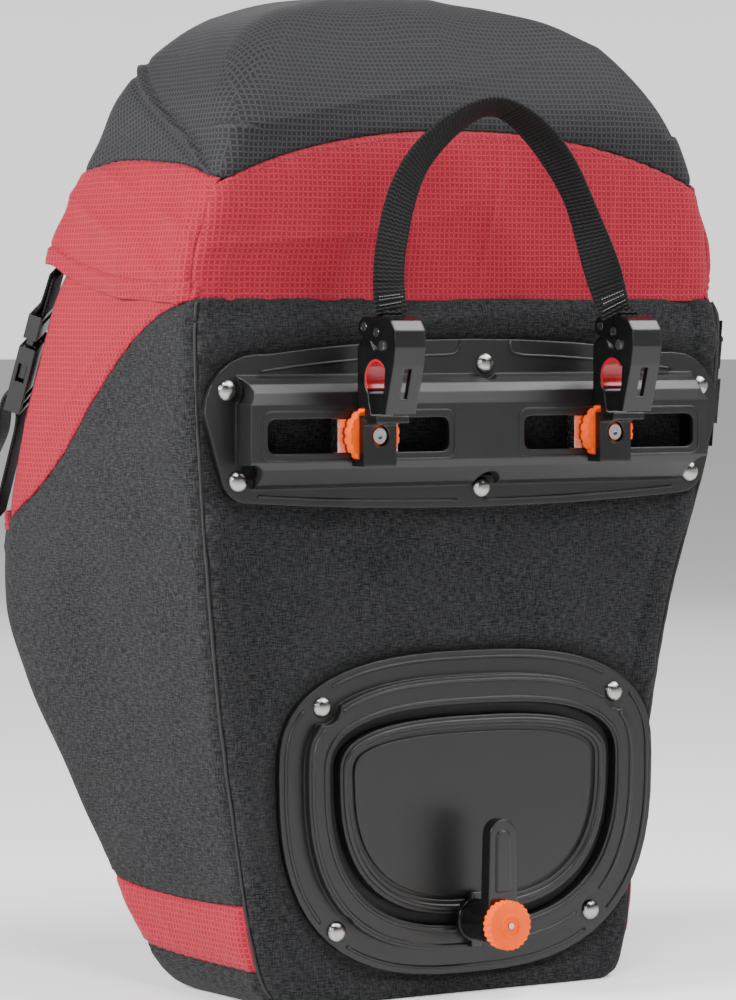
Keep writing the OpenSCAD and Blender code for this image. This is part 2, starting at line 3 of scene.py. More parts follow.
import bpy
import numpy as np
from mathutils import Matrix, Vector
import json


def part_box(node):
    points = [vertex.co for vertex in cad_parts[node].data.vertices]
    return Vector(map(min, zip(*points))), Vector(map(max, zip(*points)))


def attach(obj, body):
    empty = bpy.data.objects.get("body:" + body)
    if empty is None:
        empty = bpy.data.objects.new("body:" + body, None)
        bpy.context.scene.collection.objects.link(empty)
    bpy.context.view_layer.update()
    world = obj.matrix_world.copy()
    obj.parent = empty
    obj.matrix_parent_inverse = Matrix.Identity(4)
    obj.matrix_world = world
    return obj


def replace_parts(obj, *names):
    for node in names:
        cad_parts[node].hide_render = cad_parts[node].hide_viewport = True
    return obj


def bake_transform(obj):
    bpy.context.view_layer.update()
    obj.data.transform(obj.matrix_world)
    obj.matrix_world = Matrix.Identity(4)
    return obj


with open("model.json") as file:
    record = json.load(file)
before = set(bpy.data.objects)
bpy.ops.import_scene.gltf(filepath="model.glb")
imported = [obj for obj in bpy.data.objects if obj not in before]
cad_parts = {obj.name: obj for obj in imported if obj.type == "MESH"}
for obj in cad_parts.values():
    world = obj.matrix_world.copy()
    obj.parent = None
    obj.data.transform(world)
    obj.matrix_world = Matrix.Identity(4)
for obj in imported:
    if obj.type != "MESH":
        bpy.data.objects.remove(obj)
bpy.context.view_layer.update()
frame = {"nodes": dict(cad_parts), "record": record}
FINE = 1.0

# ---------- camera ----------
cam = bpy.data.objects.new("camera", bpy.data.cameras.new("camera"))
bpy.context.scene.collection.objects.link(cam)
cam.location = (-1.2518, -1.8895, 0.3330)
cam.rotation_euler = (math.radians(90 - 2.362), 0, math.radians(-33))
cam.data.lens = 164.05
cam.data.sensor_width = 36
cam.data.clip_end = 200
bpy.context.scene.camera = cam


# ---------- small maths ----------
def count(n):
    return max(4, int(n * FINE))


def noise(u, v, seed=0):
    """Smooth noise from -1 to 1."""
    u, v = np.broadcast_arrays(np.asarray(u, float), np.asarray(v, float))
    i, j = np.floor(u).astype(np.int64), np.floor(v).astype(np.int64)
    f, g = u - i, v - j
    f, g = f * f * f * (f * (f * 6 - 15) + 10), g * g * g * (g * (g * 6 - 15) + 10)

    def corner(a, b):
        n = (a * 374761393 + b * 668265263 + seed * 982451653) & 0x7FFFFFFF
        n = ((n ^ (n >> 13)) * 1274126177) & 0x7FFFFFFF
        return ((n ^ (n >> 16)) & 0xFFFF) / 32767.5 - 1

    return (corner(i, j) * (1 - f) + corner(i + 1, j) * f) * (1 - g) + (
        corner(i, j + 1) * (1 - f) + corner(i + 1, j + 1) * f
    ) * g


def folds(u, v, angle, wave, reach, seed):
    """Soft folds: ridges `wave` mm apart that run `reach` mm along direction `angle`."""
    a = math.radians(angle)
    s, t = u * math.cos(a) + v * math.sin(a), -u * math.sin(a) + v * math.cos(a)
    t = t + 0.35 * wave * noise(s / reach, t / reach, seed + 3)
    n = noise(s / reach, t / wave, seed)
    return (1 - np.abs(n)) ** 2 * 1.4 - 0.5 + 0.3 * n


def step(x, a, b):
    t = np.clip((x - a) / (b - a), 0, 1)
    return t * t * (3 - 2 * t)


def smooth(points):
    """Monotone cubic through given points."""
    x, y = (np.array([p[k] for p in points], float) for k in (0, 1))
    h = np.diff(x)
    d = np.diff(y) / h
    m = np.zeros_like(x)
    both = d[:-1] * d[1:] > 0
    m[1:-1][both] = (2 * d[:-1] * d[1:])[both] / (d[:-1] + d[1:])[both]
    m[0], m[-1] = d[0], d[-1]

    def f(t):
        t = np.clip(np.asarray(t, float), x[0], x[-1])
        k = np.clip(np.searchsorted(x, t) - 1, 0, len(h) - 1)
        s = (t - x[k]) / h[k]
        return (
            (2 * s**3 - 3 * s**2 + 1) * y[k] + (s**3 - 2 * s**2 + s) * h[k] * m[k]
            + (3 * s**2 - 2 * s**3) * y[k + 1] + (s**3 - s**2) * h[k] * m[k + 1]
        )

    return f


def normals(p, closed=False):
    """Unit normals of a grid of points; `closed` wraps the first direction."""
    if closed:
        du = np.roll(p, -1, 0) - np.roll(p, 1, 0)
    else:
        du = np.gradient(p, axis=0)
    n = np.cross(du, np.gradient(p, axis=1))
    return n / np.maximum(np.linalg.norm(n, axis=2, keepdims=True), 1e-9)


def run_length(p):
    """Length along a path of points, from its start."""
    return np.concatenate([[0], np.cumsum(np.linalg.norm(np.diff(p, axis=0), axis=1))])


def unit(v):
    v = np.asarray(v, float)
    return v / np.maximum(np.linalg.norm(v, axis=-1, keepdims=True), 1e-9)


# ---------- materials ----------
class Shader:
    def __init__(self, name):
        self.m = bpy.data.materials.new(name)
        self.m.use_nodes = True
        self.t = self.m.node_tree
        self.b = self.t.nodes["Principled BSDF"]

    def node(self, kind, **put):
        n = self.t.nodes.new("ShaderNode" + kind)
        for k, v in put.items():
            if k[0] == "_":
                setattr(n, k[1:], v)
            else:
                self.put(n.inputs[k.replace("_", " ")], v)
        return n

    def put(self, socket, v):
        if isinstance(v, bpy.types.NodeSocket):
            self.t.links.new(v, socket)
        elif isinstance(v, bpy.types.Node):
            self.t.links.new(v.outputs[0], socket)
        elif isinstance(v, tuple) and len(v) == 3 and socket.type == "RGBA":
            socket.default_value = (*v, 1)
        else:
            socket.default_value = v

    def math(self, op, a, b=0.0, c=0.0):
        n = self.t.nodes.new("ShaderNodeMath")
        n.operation = op
        for s, v in zip(n.inputs, (a, b, c)):
            self.put(s, v)
        return n.outputs[0]

    def set(self, **put):
        for k, v in put.items():
            self.put(self.b.inputs[k.replace("_", " ")], v)

    def ramp(self, x, a, b):
        n = self.node("MapRange", _clamp=True)
        self.put(n.inputs["Value"], x)
        n.inputs["From Min"].default_value = a
        n.inputs["From Max"].default_value = b
        return n.outputs[0]

    def mix(self, f, a, b):
        n = self.node("Mix", _data_type="RGBA")
        self.put(n.inputs[0], f)
        self.put(n.inputs[6], a)
        self.put(n.inputs[7], b)
        return n.outputs[2]

    def noise(self, vec, scale, detail=2.0, rough=0.5):
        n = self.node("TexNoise", Scale=scale, Detail=detail, Roughness=rough)
        if vec is not None:
            self.put(n.inputs["Vector"], vec)
        return n.outputs[0]

    def scaled(self, vec, x, y, z=1.0):
        n = self.node("Mapping")
        self.put(n.inputs["Vector"], vec)
        n.inputs["Scale"].default_value = (x, y, z)
        return n.outputs[0]


def ridge(s, x, pitch, width):
    """1 on a thin line every `pitch`, 0 between."""
    d = s.math("ABSOLUTE", s.math("SUBTRACT", s.math("FRACT", s.math("DIVIDE", x, pitch)), 0.5))
    return s.ramp(d, width, width * 0.35)


def woven(name, dark, light, sheen):
    """Slubbed plain-weave polyester. The UV map is in millimetres."""
    s = Shader(name)
    uv = s.node("UVMap").outputs[0]
    across = s.noise(s.scaled(uv, 0.24, 1.35), 1.0, 2.0)
    along = s.noise(s.scaled(uv, 1.35, 0.24), 1.0, 2.0)
    speck = s.noise(s.scaled(uv, 1.7, 1.9), 1.0, 1.0)
    threads = s.math("ADD", s.math("MULTIPLY", across, 0.55), s.math("MULTIPLY", along, 0.45))
    tone = s.ramp(s.math("ADD", threads, s.math("MULTIPLY", s.math("SUBTRACT", speck, 0.5), 0.5)), 0.40, 0.64)
    worn = s.noise(s.scaled(uv, 0.02, 0.02), 1.0, 3.0)
    base = s.mix(tone, dark, light)
    base = s.mix(s.math("MULTIPLY", s.ramp(worn, 0.35, 0.75), 0.22), base, light)
    bump = s.node("Bump", Strength=0.55, Distance=0.00022, Height=threads)
    s.set(Base_Color=base, Roughness=0.9, Specular_IOR_Level=0.12, Sheen_Weight=sheen, Sheen_Roughness=0.5, Normal=bump)
    return s.m


def ripstop(name, dark, light, line, sheen, pitch=2.7):
    """Ripstop: a raised square grid over a fine weave."""
    s = Shader(name)
    uv = s.node("UVMap").outputs[0]
    sep = s.node("SeparateXYZ")
    s.put(sep.inputs[0], uv)
    wob = s.math("MULTIPLY", s.math("SUBTRACT", s.noise(s.scaled(uv, 0.12, 0.12), 1.0, 1.0), 0.5), 0.8)
    lu = ridge(s, s.math("ADD", sep.outputs[0], wob), pitch, 0.2)
    lv = ridge(s, s.math("ADD", sep.outputs[1], wob), pitch, 0.2)
    grid = s.math("MAXIMUM", lu, lv)
    cross = s.math("MULTIPLY", lu, lv)
    weave = s.noise(s.scaled(uv, 2.4, 2.0), 1.0, 1.5)
    base = s.mix(s.ramp(weave, 0.35, 0.68), dark, light)
    base = s.mix(s.math("MULTIPLY", grid, 0.6), base, line)
    base = s.mix(s.math("MULTIPLY", cross, 0.45), base, dark)
    height = s.math("ADD", grid, s.math("MULTIPLY", weave, 0.4))
    bump = s.node("Bump", Strength=0.6, Distance=0.00025, Height=height)
    s.set(Base_Color=base, Roughness=0.7, Specular_IOR_Level=0.18, Sheen_Weight=sheen, Sheen_Roughness=0.45, Normal=bump)
    return s.m


def ribbed(name, dark, light, pitch=1.35):
    """Nylon webbing: crosswise ribs stepped along the length (UV v), fine threads across."""
    s = Shader(name)
    uv = s.node("UVMap").outputs[0]
    sep = s.node("SeparateXYZ")
    s.put(sep.inputs[0], uv)
    zig = s.math("MULTIPLY", s.math("PINGPONG", sep.outputs[0], 1.7), 0.3)
    wave = s.math("SINE", s.math("MULTIPLY", s.math("ADD", sep.outputs[1], zig), 2 * math.pi / pitch))
    groove = s.math("SINE", s.math("MULTIPLY", sep.outputs[0], 2 * math.pi / 3.4))
    h = s.math("ADD", s.math("MULTIPLY", wave, 0.85), s.math("MULTIPLY", groove, 0.08))
    bump = s.node("Bump", Strength=0.8, Distance=0.0003, Height=h)
    s.set(Base_Color=s.mix(s.ramp(h, -0.6, 0.9), dark, light), Roughness=0.6, Specular_IOR_Level=0.16,
          Sheen_Weight=0.01, Normal=bump)
    return s.m


def plastic(name, colour, rough, grain=0.0, bevel=0.0004, spec=0.5, scratch=0.06):
    """Moulded plastic with softened edges, a moulded grain and light handling marks."""
    s = Shader(name)
    co = s.node("TexCoord").outputs["Object"]
    big = s.noise(co, 60.0, 3.0)
    fine = s.noise(co, 2600.0, 2.0)
    edge = s.node("Bevel", _samples=4, Radius=bevel)
    bump = s.node("Bump", Strength=grain, Distance=0.0001, Height=fine, Normal=edge)
    r = s.math("ADD", s.math("MULTIPLY", s.math("SUBTRACT", big, 0.5), scratch * 2), rough)
    s.set(Base_Color=s.mix(s.ramp(big, 0.3, 0.7), colour, tuple(c * 1.25 for c in colour)), Roughness=r,
          Specular_IOR_Level=spec, Normal=bump)
    return s.m


def metal(name, colour, rough, brushed=0.0, bevel=0.0002):
    s = Shader(name)
    co = s.node("TexCoord").outputs["Object"]
    mark = s.noise(s.scaled(co, 1.0, 9.0, 1.0), 400.0, 3.0)
    edge = s.node("Bevel", _samples=4, Radius=bevel)
    bump = s.node("Bump", Strength=brushed, Distance=0.00005, Height=mark, Normal=edge)
    s.set(Base_Color=colour, Metallic=1.0, Roughness=s.math("ADD", s.math("MULTIPLY", mark, 0.12), rough), Normal=bump)
    return s.m


M = {name: kind(name, *rest) for name, kind, *rest in (
    ("dark_fabric", woven, (0.0036, 0.0037, 0.0040), (0.034, 0.0342, 0.0358), 0.02),
    ("black_fabric", ripstop, (0.0070, 0.0070, 0.0078), (0.015, 0.015, 0.0166), (0.046, 0.046, 0.0500), 0.03),
    ("red_fabric", ripstop, (0.140, 0.0040, 0.0110), (0.31, 0.009, 0.024), (0.42, 0.024, 0.046), 0.04),
    ("lining_fabric", woven, (0.03, 0.03, 0.032), (0.06, 0.06, 0.063), 0.03),
    ("webbing", ribbed, (0.0008, 0.0008, 0.0009), (0.0090, 0.0090, 0.0093), 1.9),
    ("strap_webbing", ribbed, (0.006, 0.006, 0.006), (0.040, 0.040, 0.038), 1.6),
    ("cord", ribbed, (0.02, 0.02, 0.02), (0.06, 0.06, 0.06), 1.0),
    ("thread", plastic, (0.006, 0.006, 0.0065), 0.7),
    ("thread_red", plastic, (0.16, 0.006, 0.012), 0.6),
    ("thread_light", plastic, (0.20, 0.20, 0.19), 0.6),
    ("board", plastic, (0.02, 0.02, 0.022), 0.7, 0.3),
    ("plate_plastic", plastic, (0.0056, 0.0057, 0.0060), 0.34, 0.5, 0.0013, 0.45),
    ("hook_plastic", plastic, (0.0032, 0.0032, 0.0034), 0.20, 0.12, 0.0014, 0.48),
    ("red_plastic", plastic, (0.30, 0.006, 0.012), 0.2, 0.0, 0.0004),
    ("orange_plastic", plastic, (0.82, 0.085, 0.0), 0.36, 0.1, 0.0004, 0.12),
    ("aluminium", metal, (0.7, 0.7, 0.71), 0.2, 0.3),
    ("rivet_metal", metal, (0.36, 0.35, 0.34), 0.12, 0.0, 0.0022),
    ("steel", metal, (0.45, 0.45, 0.46), 0.18, 0.2),
)}


# ---------- mesh builders ----------
def add_mesh(name, verts, faces, uvs, slot, material=None, smooth_shade=True):
    """verts in mm; uvs is one (u, v) per face corner, in mm."""
    me = bpy.data.meshes.new(name)
    me.from_pydata((np.asarray(verts) * 0.001).tolist(), [], [list(map(int, f)) for f in faces])
    if uvs is not None:
        layer = me.uv_layers.new(name="UVMap")
        layer.data.foreach_set("uv", np.asarray(uvs, np.float32).ravel())
    if smooth_shade:
        me.shade_smooth()
    me.materials.append(material or M[slot])
    o = bpy.data.objects.new(name, me)
    bpy.context.scene.collection.objects.link(o)
    return o


def sheet(name, p, uv, slot, thick=1.6, closed=False, material=None, flip=False):
    """A fabric panel from a grid of outer points (n, m, 3), thickened inwards and closed round its rim.
    uv is (n, m, 2); with `closed` the first direction wraps and uv has n + 1 rows."""
    n, m = p.shape[:2]
    q = p - normals(p, closed) * thick * (-1 if flip else 1)
    verts = np.concatenate([p.reshape(-1, 3), q.reshape(-1, 3)])
    off = n * m
    rows = n if closed else n - 1
    i, j = np.meshgrid(np.arange(rows), np.arange(m - 1), indexing="ij")
    a, b = i * m + j, ((i + 1) % n) * m + j
    top = np.stack([a, b, b + 1, a + 1], -1).reshape(-1, 4)
    tuv = np.stack([uv[i, j], uv[i + 1, j], uv[i + 1, j + 1], uv[i, j + 1]], -2).reshape(-1, 4, 2)
    if flip:
        top, tuv = top[:, ::-1], tuv[:, ::-1]
    faces, uvs = [top, top[:, ::-1] + off], [tuv, tuv[:, ::-1]]

    def rim(line, luv):
        e = np.stack([line[:-1], line[1:], line[1:] + off, line[:-1] + off], -1)
        lo, hi = luv[:-1], luv[1:]
        faces.append(e[:, ::-1] if not flip else e)
        w = np.stack([lo, hi, hi + 0.5, lo + 0.5], -2)
        uvs.append(w[:, ::-1] if not flip else w)

    ring = np.array(list(range(rows)) + [0 if closed else n - 1])
    rim(ring * m, uv[: rows + 1, 0])
    rim((ring * m + m - 1)[::-1], uv[: rows + 1, m - 1][::-1])
    if not closed:
        rim(np.arange(m)[::-1], uv[0][::-1])
        rim((n - 1) * m + np.arange(m), uv[n - 1])
    return add_mesh(name, verts, np.concatenate(faces), np.concatenate(uvs).reshape(-1, 2), slot, material)


def tube(name, path, r, slot, material=None, closed=False, sides=8, flat=1.0, up=None):
    """Round or flattened tube along a path (mm)."""
    p = np.asarray(path, float)
    d = unit(np.roll(p, -1, 0) - np.roll(p, 1, 0)) if closed else unit(np.gradient(p, axis=0))
    ref = np.array([0, 0, 1.0]) if up is None else np.asarray(up, float)
    x = np.cross(d, ref)
    bad = np.linalg.norm(x, axis=1) < 0.05
    x[bad] = np.cross(d[bad], [1.0, 0.03, 0])
    x = unit(x)
    y = np.cross(d, x)
    a = np.arange(sides) * 2 * math.pi / sides
    v = (p[:, None] + r * (x[:, None] * np.cos(a)[None, :, None] + flat * y[:, None] * np.sin(a)[None, :, None]))
    n = len(p)
    faces = []
    for i in range(n if closed else n - 1):
        for k in range(sides):
            faces.append([i * sides + k, i * sides + (k + 1) % sides, ((i + 1) % n) * sides + (k + 1) % sides, ((i + 1) % n) * sides + k])
    if not closed:
        faces += [list(range(sides))[::-1], [(n - 1) * sides + k for k in range(sides)]]
    uvs = []
    along = run_length(p)
    flat_v = v.reshape(-1, 3)
    for f in faces:
        for k in f:
            uvs.append(((k % sides) * r, along[k // sides]))
    return add_mesh(name, flat_v, faces, uvs, slot, material)


def stitches(name, path, normal, slot, material, length=2.6, gap=1.5, r=0.3, lift=0.1):
    """A row of separate thread stitches along a path, lying on a surface with that normal."""
    p = np.asarray(path, float)
    nrm = unit(np.broadcast_to(np.asarray(normal, float), p.shape))
    s = run_length(p)
    verts, faces, uvs = [], [], []
    at = gap
    prof = [(0.0, 0.25), (0.15, 0.8), (0.5, 1.0), (0.85, 0.8), (1.0, 0.25)]
    while at + length < s[-1]:
        rings = []
        for f, w in prof:
            c = np.array([np.interp(at + f * length, s, p[:, k]) for k in range(3)])
            h = unit(np.array([np.interp(at + f * length, s, nrm[:, k]) for k in range(3)]))
            t = unit(np.array([np.interp(at + length, s, p[:, k]) - np.interp(at, s, p[:, k]) for k in range(3)]))
            side = unit(np.cross(t, h))
            c = c + h * (lift + 0.25 * r * math.sin(math.pi * f) - 0.3 * r)
            rings.append([c + side * r * w * math.cos(a) + h * r * w * math.sin(a) for a in np.arange(6) * math.pi / 3])
        o = len(verts)
        verts += [v for g in rings for v in g]
        for i in range(len(rings) - 1):
            for k in range(6):
                faces.append([o + i * 6 + k, o + i * 6 + (k + 1) % 6, o + i * 6 + 6 + (k + 1) % 6, o + i * 6 + 6 + k])
        faces.append([o + k for k in range(6)][::-1])
        faces.append([o + (len(rings) - 1) * 6 + k for k in range(6)])
        at += length + gap
    return add_mesh(name, verts, faces, None, slot, material)


def ribbon(name, path, across, width, thick, slot, edge=0.75, material=None):
    """Flat webbing along a path; `across` gives the width direction at each point."""
    p = np.asarray(path, float)
    d = unit(np.gradient(p, axis=0))
    w = np.broadcast_to(np.asarray(across, float), p.shape)
    w = unit(w - d * np.sum(w * d, axis=1, keepdims=True))
    n = np.cross(d, w)
    half, t = width / 2, thick / 2
    a, b = half - edge, half - edge * 0.3
    sect = [(-a, t), (-half * 0.5, t * 1.04), (0, t * 1.04), (half * 0.5, t * 1.04), (a, t), (b, t * 0.7),
            (half, 0), (b, -t * 0.7), (a, -t), (half * 0.5, -t * 1.04), (0, -t * 1.04), (-half * 0.5, -t * 1.04),
            (-a, -t), (-b, -t * 0.7), (-half, 0), (-b, t * 0.7)]
    k = len(sect)
    v = np.stack([p + w * a + n * b for a, b in sect], 1)
    s = run_length(p)
    faces, uvs = [], []
    m = len(p)
    for i in range(m - 1):
        for j in range(k):
            j2 = (j + 1) % k
            faces.append([i * k + j, i * k + j2, (i + 1) * k + j2, (i + 1) * k + j])
            uvs += [(sect[j][0], s[i]), (sect[j2][0], s[i]), (sect[j2][0], s[i + 1]), (sect[j][0], s[i + 1])]
    for end, idx in ((0, range(k)), (m - 1, range(k - 1, -1, -1))):
        f = [end * k + j for j in idx]
        faces.append(f[::-1])
        uvs += [(sect[j % k][0], s[end]) for j in range(k)]
    return add_mesh(name, v.reshape(-1, 3), faces, uvs, slot, material)


def curve_through(points, n):
    """Catmull-Rom curve through given points."""
    p = np.asarray(points, float)
    p = np.vstack([2 * p[0] - p[1], p, 2 * p[-1] - p[-2]])
    t = np.linspace(0, len(p) - 3, n)
    k = np.minimum(t.astype(int), len(p) - 4)
    f = (t - k)[:, None]
    a, b, c, d = p[k], p[k + 1], p[k + 2], p[k + 3]
    return 0.5 * (2 * b + (c - a) * f + (2 * a - 5 * b + 4 * c - d) * f**2 + (3 * b - a - 3 * c + d) * f**3)


# ---------- body shape (mm) ----------
left_w = smooth([(0, 106), (4, 114), (12, 120), (30, 126), (75, 134), (150, 145), (235, 153), (300, 157), (322, 157.5),
                 (334, 157), (343, 155.5), (358, 152)])
right_w = smooth([(0, 86), (4, 93), (12, 97), (30, 101), (75, 106), (115, 112), (150, 118), (185, 126), (206, 132),
                  (235, 142), (263, 150.5), (300, 155.5), (326, 157), (336, 155), (342, 150), (358, 146)])
front_y = smooth([(0, 50), (4, 54), (12, 60), (30, 71), (75, 98), (115, 122), (150, 146), (185, 160), (206, 158), (235, 149),
                  (263, 135), (300, 117), (326, 101), (340, 94), (358, 88)])
seam_gusset = smooth([(-60, 341), (-28, 334), (0, 321), (42, 291), (77, 262), (117, 238), (140, 229), (200, 222)])
seam_patch_high = smooth([(-60, 51), (-3, 49), (36, 50), (77, 54), (100, 58), (160, 66)])
seam_patch_low = smooth([(-60, 18), (0, 18.5), (55, 21.5), (100, 28), (160, 36)])
TOP = 355


def half_w(z, x):
    """Half width of the body at height z, on the side where x lies. The right side is cut away low down."""
    return np.where(np.asarray(x) < 0, left_w(z), right_w(z))


REAR_R, FRONT_R = 6.0, 24.0


def side_curve(t, z, side):
    """Point on a side wall, as if on the right: t 0 at the rear seam, 1 at the front seam. Returns x, y and length along."""
    w, f = half_w(z, side), front_y(z)
    a1, a2 = REAR_R * math.pi / 2, FRONT_R * math.pi / 2
    straight = f - FRONT_R + 50 - REAR_R
    s = t * (a1 + straight + a2 + 2)
    k = s < a1
    g = np.clip(s / REAR_R, 0, math.pi / 2)
    x1, y1 = w - REAR_R + REAR_R * np.sin(g), -50 + REAR_R - REAR_R * np.cos(g)
    s2 = s - a1
    x2, y2 = w, -50 + REAR_R + s2
    s3 = s2 - straight
    g = np.clip(s3 / FRONT_R, 0, math.pi / 2)
    x3, y3 = w - FRONT_R + FRONT_R * np.cos(g), f - FRONT_R + FRONT_R * np.sin(g)
    s4 = np.maximum(s3 - a2, 0)
    x = np.where(k, x1, np.where(s2 < straight, x2, x3 - s4))
    y = np.where(k, y1, np.where(s2 < straight, y2, y3))
    return x, y, s


def seam_height(t, seam, side):
    """Height at which each column of the side wall crosses a seam."""
    lo, hi = np.zeros_like(t), np.full_like(t, TOP)
    for _ in range(30):
        mid = (lo + hi) / 2
        over = mid > seam(side_curve(t, mid, side)[1])
        lo, hi = np.where(over, lo, mid), np.where(over, mid, hi)
    return (lo + hi) / 2


def side_panel(name, side, low, high, cols, rows, slot, puff, crease, seed, thick=2.4):
    t = np.linspace(0, 1, cols)
    z0 = seam_height(t, low, side) if callable(low) else np.full(cols, float(low))
    z1 = seam_height(t, high, side) if callable(high) else np.full(cols, float(high))
    v = np.linspace(0, 1, rows)
    tt = np.repeat(t[:, None], rows, 1)
    zz = z0[:, None] + (z1 - z0)[:, None] * v[None]
    x, y, s = side_curve(tt, zz, side)
    p = np.stack([x, y, zz], -1)
    if side < 0:
        p[..., 0] *= -1
    n = normals(p) * side * -1
    n = -n if (n[cols // 2, rows // 2, 0] * side) < 0 else n
    length = side_curve(np.ones_like(zz), zz, side)[2]
    top_d, low_d = (z1[:, None] - zz), (zz - z0[:, None])
    if not callable(low):
        low_d = low_d + 30
    d = np.minimum(np.minimum(top_d, low_d), np.minimum(s, length - s))
    d = np.maximum(d, 0)
    out = puff * (1 - np.exp(-d / 9)) - 0.9 * np.exp(-d / 1.3)
    out += 0.28 * np.exp(-d / 6) * np.sin(2 * math.pi * (s + 0.6 * zz) / 8.5 + 2 * noise(s / 30, zz / 30, seed))
    out += crease(s, y, zz) * (1 - np.exp(-d / 12))
    p = p + n * out[..., None]
    uv = np.stack([s, zz * 1.02], -1)
    return sheet(name, p, uv, slot, thick, flip=side < 0), p, n


def side_creases(seed):
    def f(s, y, z):
        low = 1.1 * noise(s / 60 + z / 110, z / 22 - s / 70, seed) * step(-z, -170, -50)
        mid = 0.7 * noise(s / 50, z / 70 + s / 60, seed + 5)
        fine = 0.45 * folds(s, z, 22, 22, 120, seed + 9) * step(-z, -120, -20)
        return low + mid + fine + 0.8 * noise(s / 90, z / 80, seed + 2)
    return f


def flat_creases(amp, wave, angle, seed):
    def f(s, y, z):
        return amp * folds(s, z, angle, wave, wave * 3.2, seed)
    return f


SEAMS = {}
for side, tag in ((-1, "left"), (1, "right")):
    seed = 11 if side < 0 else 57
    o, p, n = side_panel(f"side_panel_{tag}.cloth", side, seam_patch_high, seam_gusset, count(150), count(170), "dark_fabric",
                         1.6, side_creases(seed), seed)
    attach(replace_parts(o, f"side_panel_{tag}"), "root")
    SEAMS[tag] = (p, n)
    o, _, _ = side_panel(f"side_gusset_{tag}.cloth", side, seam_gusset, TOP, count(150), count(70), "red_fabric", 1.2,
                           flat_creases(0.9, 17, -38, seed + 20), seed + 30)
    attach(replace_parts(o, f"side_gusset_{tag}"), "root")
    o, pp, np_ = side_panel(f"lower_patch_{tag}.cloth", side, seam_patch_low, seam_patch_high, count(150), count(24), "red_fabric", 1.0,
                            flat_creases(0.7, 16, 30, seed + 40), seed + 41)
    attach(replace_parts(o, f"lower_patch_{tag}"), "root")
    o, _, _ = side_panel(f"base_side_{tag}.cloth", side, 0, seam_patch_low, count(150), count(16), "dark_fabric", 0.8,
                           flat_creases(0.5, 14, 10, seed + 50), seed + 51)
    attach(o, "root")
    # top-stitching beside the seams
    for row, k, mat, nm in ((p, -3, "thread", "gusset"), (p, 3, "thread", "patch_high")):
        line = row[:, k]
        st = stitches(f"stitch_{nm}_{tag}", line[4:-2], n[:, k][4:-2], "dark_fabric", M[mat], 2.4, 1.6, 0.26)
        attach(st, "root")
    st = stitches(f"stitch_patch_low_{tag}", pp[4:-2, 2], np_[4:-2, 2], "red_fabric", M["thread_red"], 2.4, 1.6, 0.26)
    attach(st, "root")


# ---------- padded back panel ----------
def plate_gap(x, z):
    """Distance outside either plate's outline, in mm; negative under a plate."""
    up = np.maximum(np.abs(x) - 150, np.maximum(z - (320 - 7 * (x / 116) ** 2), 238 + 4.5 * (x / 128) ** 2 - z))
    h = np.where(z > 112, 56.0, 102.0)
    low = ((np.abs(x) / 110) ** 2.7 + (np.abs(z - 112) / h) ** 2.7) ** (1 / 2.7) * 80 - 80
    return np.minimum(up, low)


def back_out(x, z):
    """How far the padded panel stands out behind y -50."""
    edge = half_w(z, x) - 4 - np.abs(x)
    d = np.minimum(edge, z + 4)
    roll = 2.6 * np.sin(math.pi * np.clip(d / 15, 0, 1)) ** 0.6 * (d < 15)
    groove = -1.2 * np.exp(-np.maximum(d, 0) / 1.0)
    pillow = 1.3 * step(d, 7, 30) + 0.4
    broad = 1.5 * folds(x, z, 8, 38, 150, 101) + 1.2 * folds(x, z, -28, 46, 130, 105) * step(z, 130, 200)
    low = 1.7 * folds(x, z, 14, 24, 90, 109) * step(-z, -90, -25)
    upper = 1.3 * folds(x, z, 3, 13, 80, 111) * step(z, 300, 330)
    between = 1.3 * folds(x, z, 35, 30, 90, 115) * step(z, 165, 190) * step(-z, -240, -225)
    out = pillow * step(d, 7, 16) + (broad + low + upper + between - 0.5) * step(d, 8, 26)
    gap = plate_gap(x, z)
    press = step(gap, -6, 9)
    puff = 1.6 * np.exp(-(((gap - 11) / 7) ** 2))
    return (out + puff) * press + (roll + groove) * step(gap, -3, 3) - 0.4 * (1 - press)


nx, nz = count(260), count(250)
s = np.linspace(-1, 1, nx)
s = np.sign(s) * (1 - (1 - np.abs(s)) ** 1.15)
z = np.concatenate([np.linspace(0.4, 24, count(26)), np.linspace(24, 339.5, nz)[1:]])
sx, zz = np.meshgrid(s, z, indexing="ij")
xx = sx * (half_w(zz, sx) - 4)
p = np.stack([xx, -50 - back_out(xx, zz), zz], -1)
back = sheet("back_panel.cloth", p, np.stack([xx, zz], -1), "dark_fabric", 3.0)
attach(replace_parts(back, "back_panel"), "root")
for sgn, tag in ((-1, "left"), (1, "right")):
    # the corner seam between the back panel and the side wall, with a folded binding
    zl = np.linspace(6, 338, 160)
    xl = sgn * (half_w(zl, sgn) - 3.4)
    cord_line = np.stack([xl, np.full_like(zl, -49.6) + 0.3 * noise(zl / 14, zl * 0, 5), zl], -1)
    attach(tube(f"corner_seam_{tag}", cord_line, 0.8, "black_fabric", M["thread"]), "root")


# ---------- base, front and pocket ----------
def full_ring(z, n):
    t = np.linspace(0, 1, n)
    out = []
    for side in (1, -1):
        x, y, _ = side_curve(t, np.full(n, float(z)), side)
        out.append(np.stack([x * side, y], -1)[::side])
    return np.vstack(out)


ring = full_ring(0, count(70))
centre = np.array([0.0, 2.0])
r = np.linspace(1, 0.02, count(40))
p = np.zeros((len(ring), len(r), 3))
p[..., :2] = centre + (ring[:, None] - centre) * r[None, :, None]
p[..., 2] = 0.02 + 0.5 * (1 - r[None, :]) * (0.5 + 0.5 * noise(p[..., 0] / 25, p[..., 1] / 25, 77))
wrap = np.concatenate([p[..., :2], p[:1, :, :2]], 0)
base = sheet("base_panel.cloth", p, wrap, "dark_fabric", 2.0, closed=True, flip=True)
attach(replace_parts(base, "base_panel"), "root")

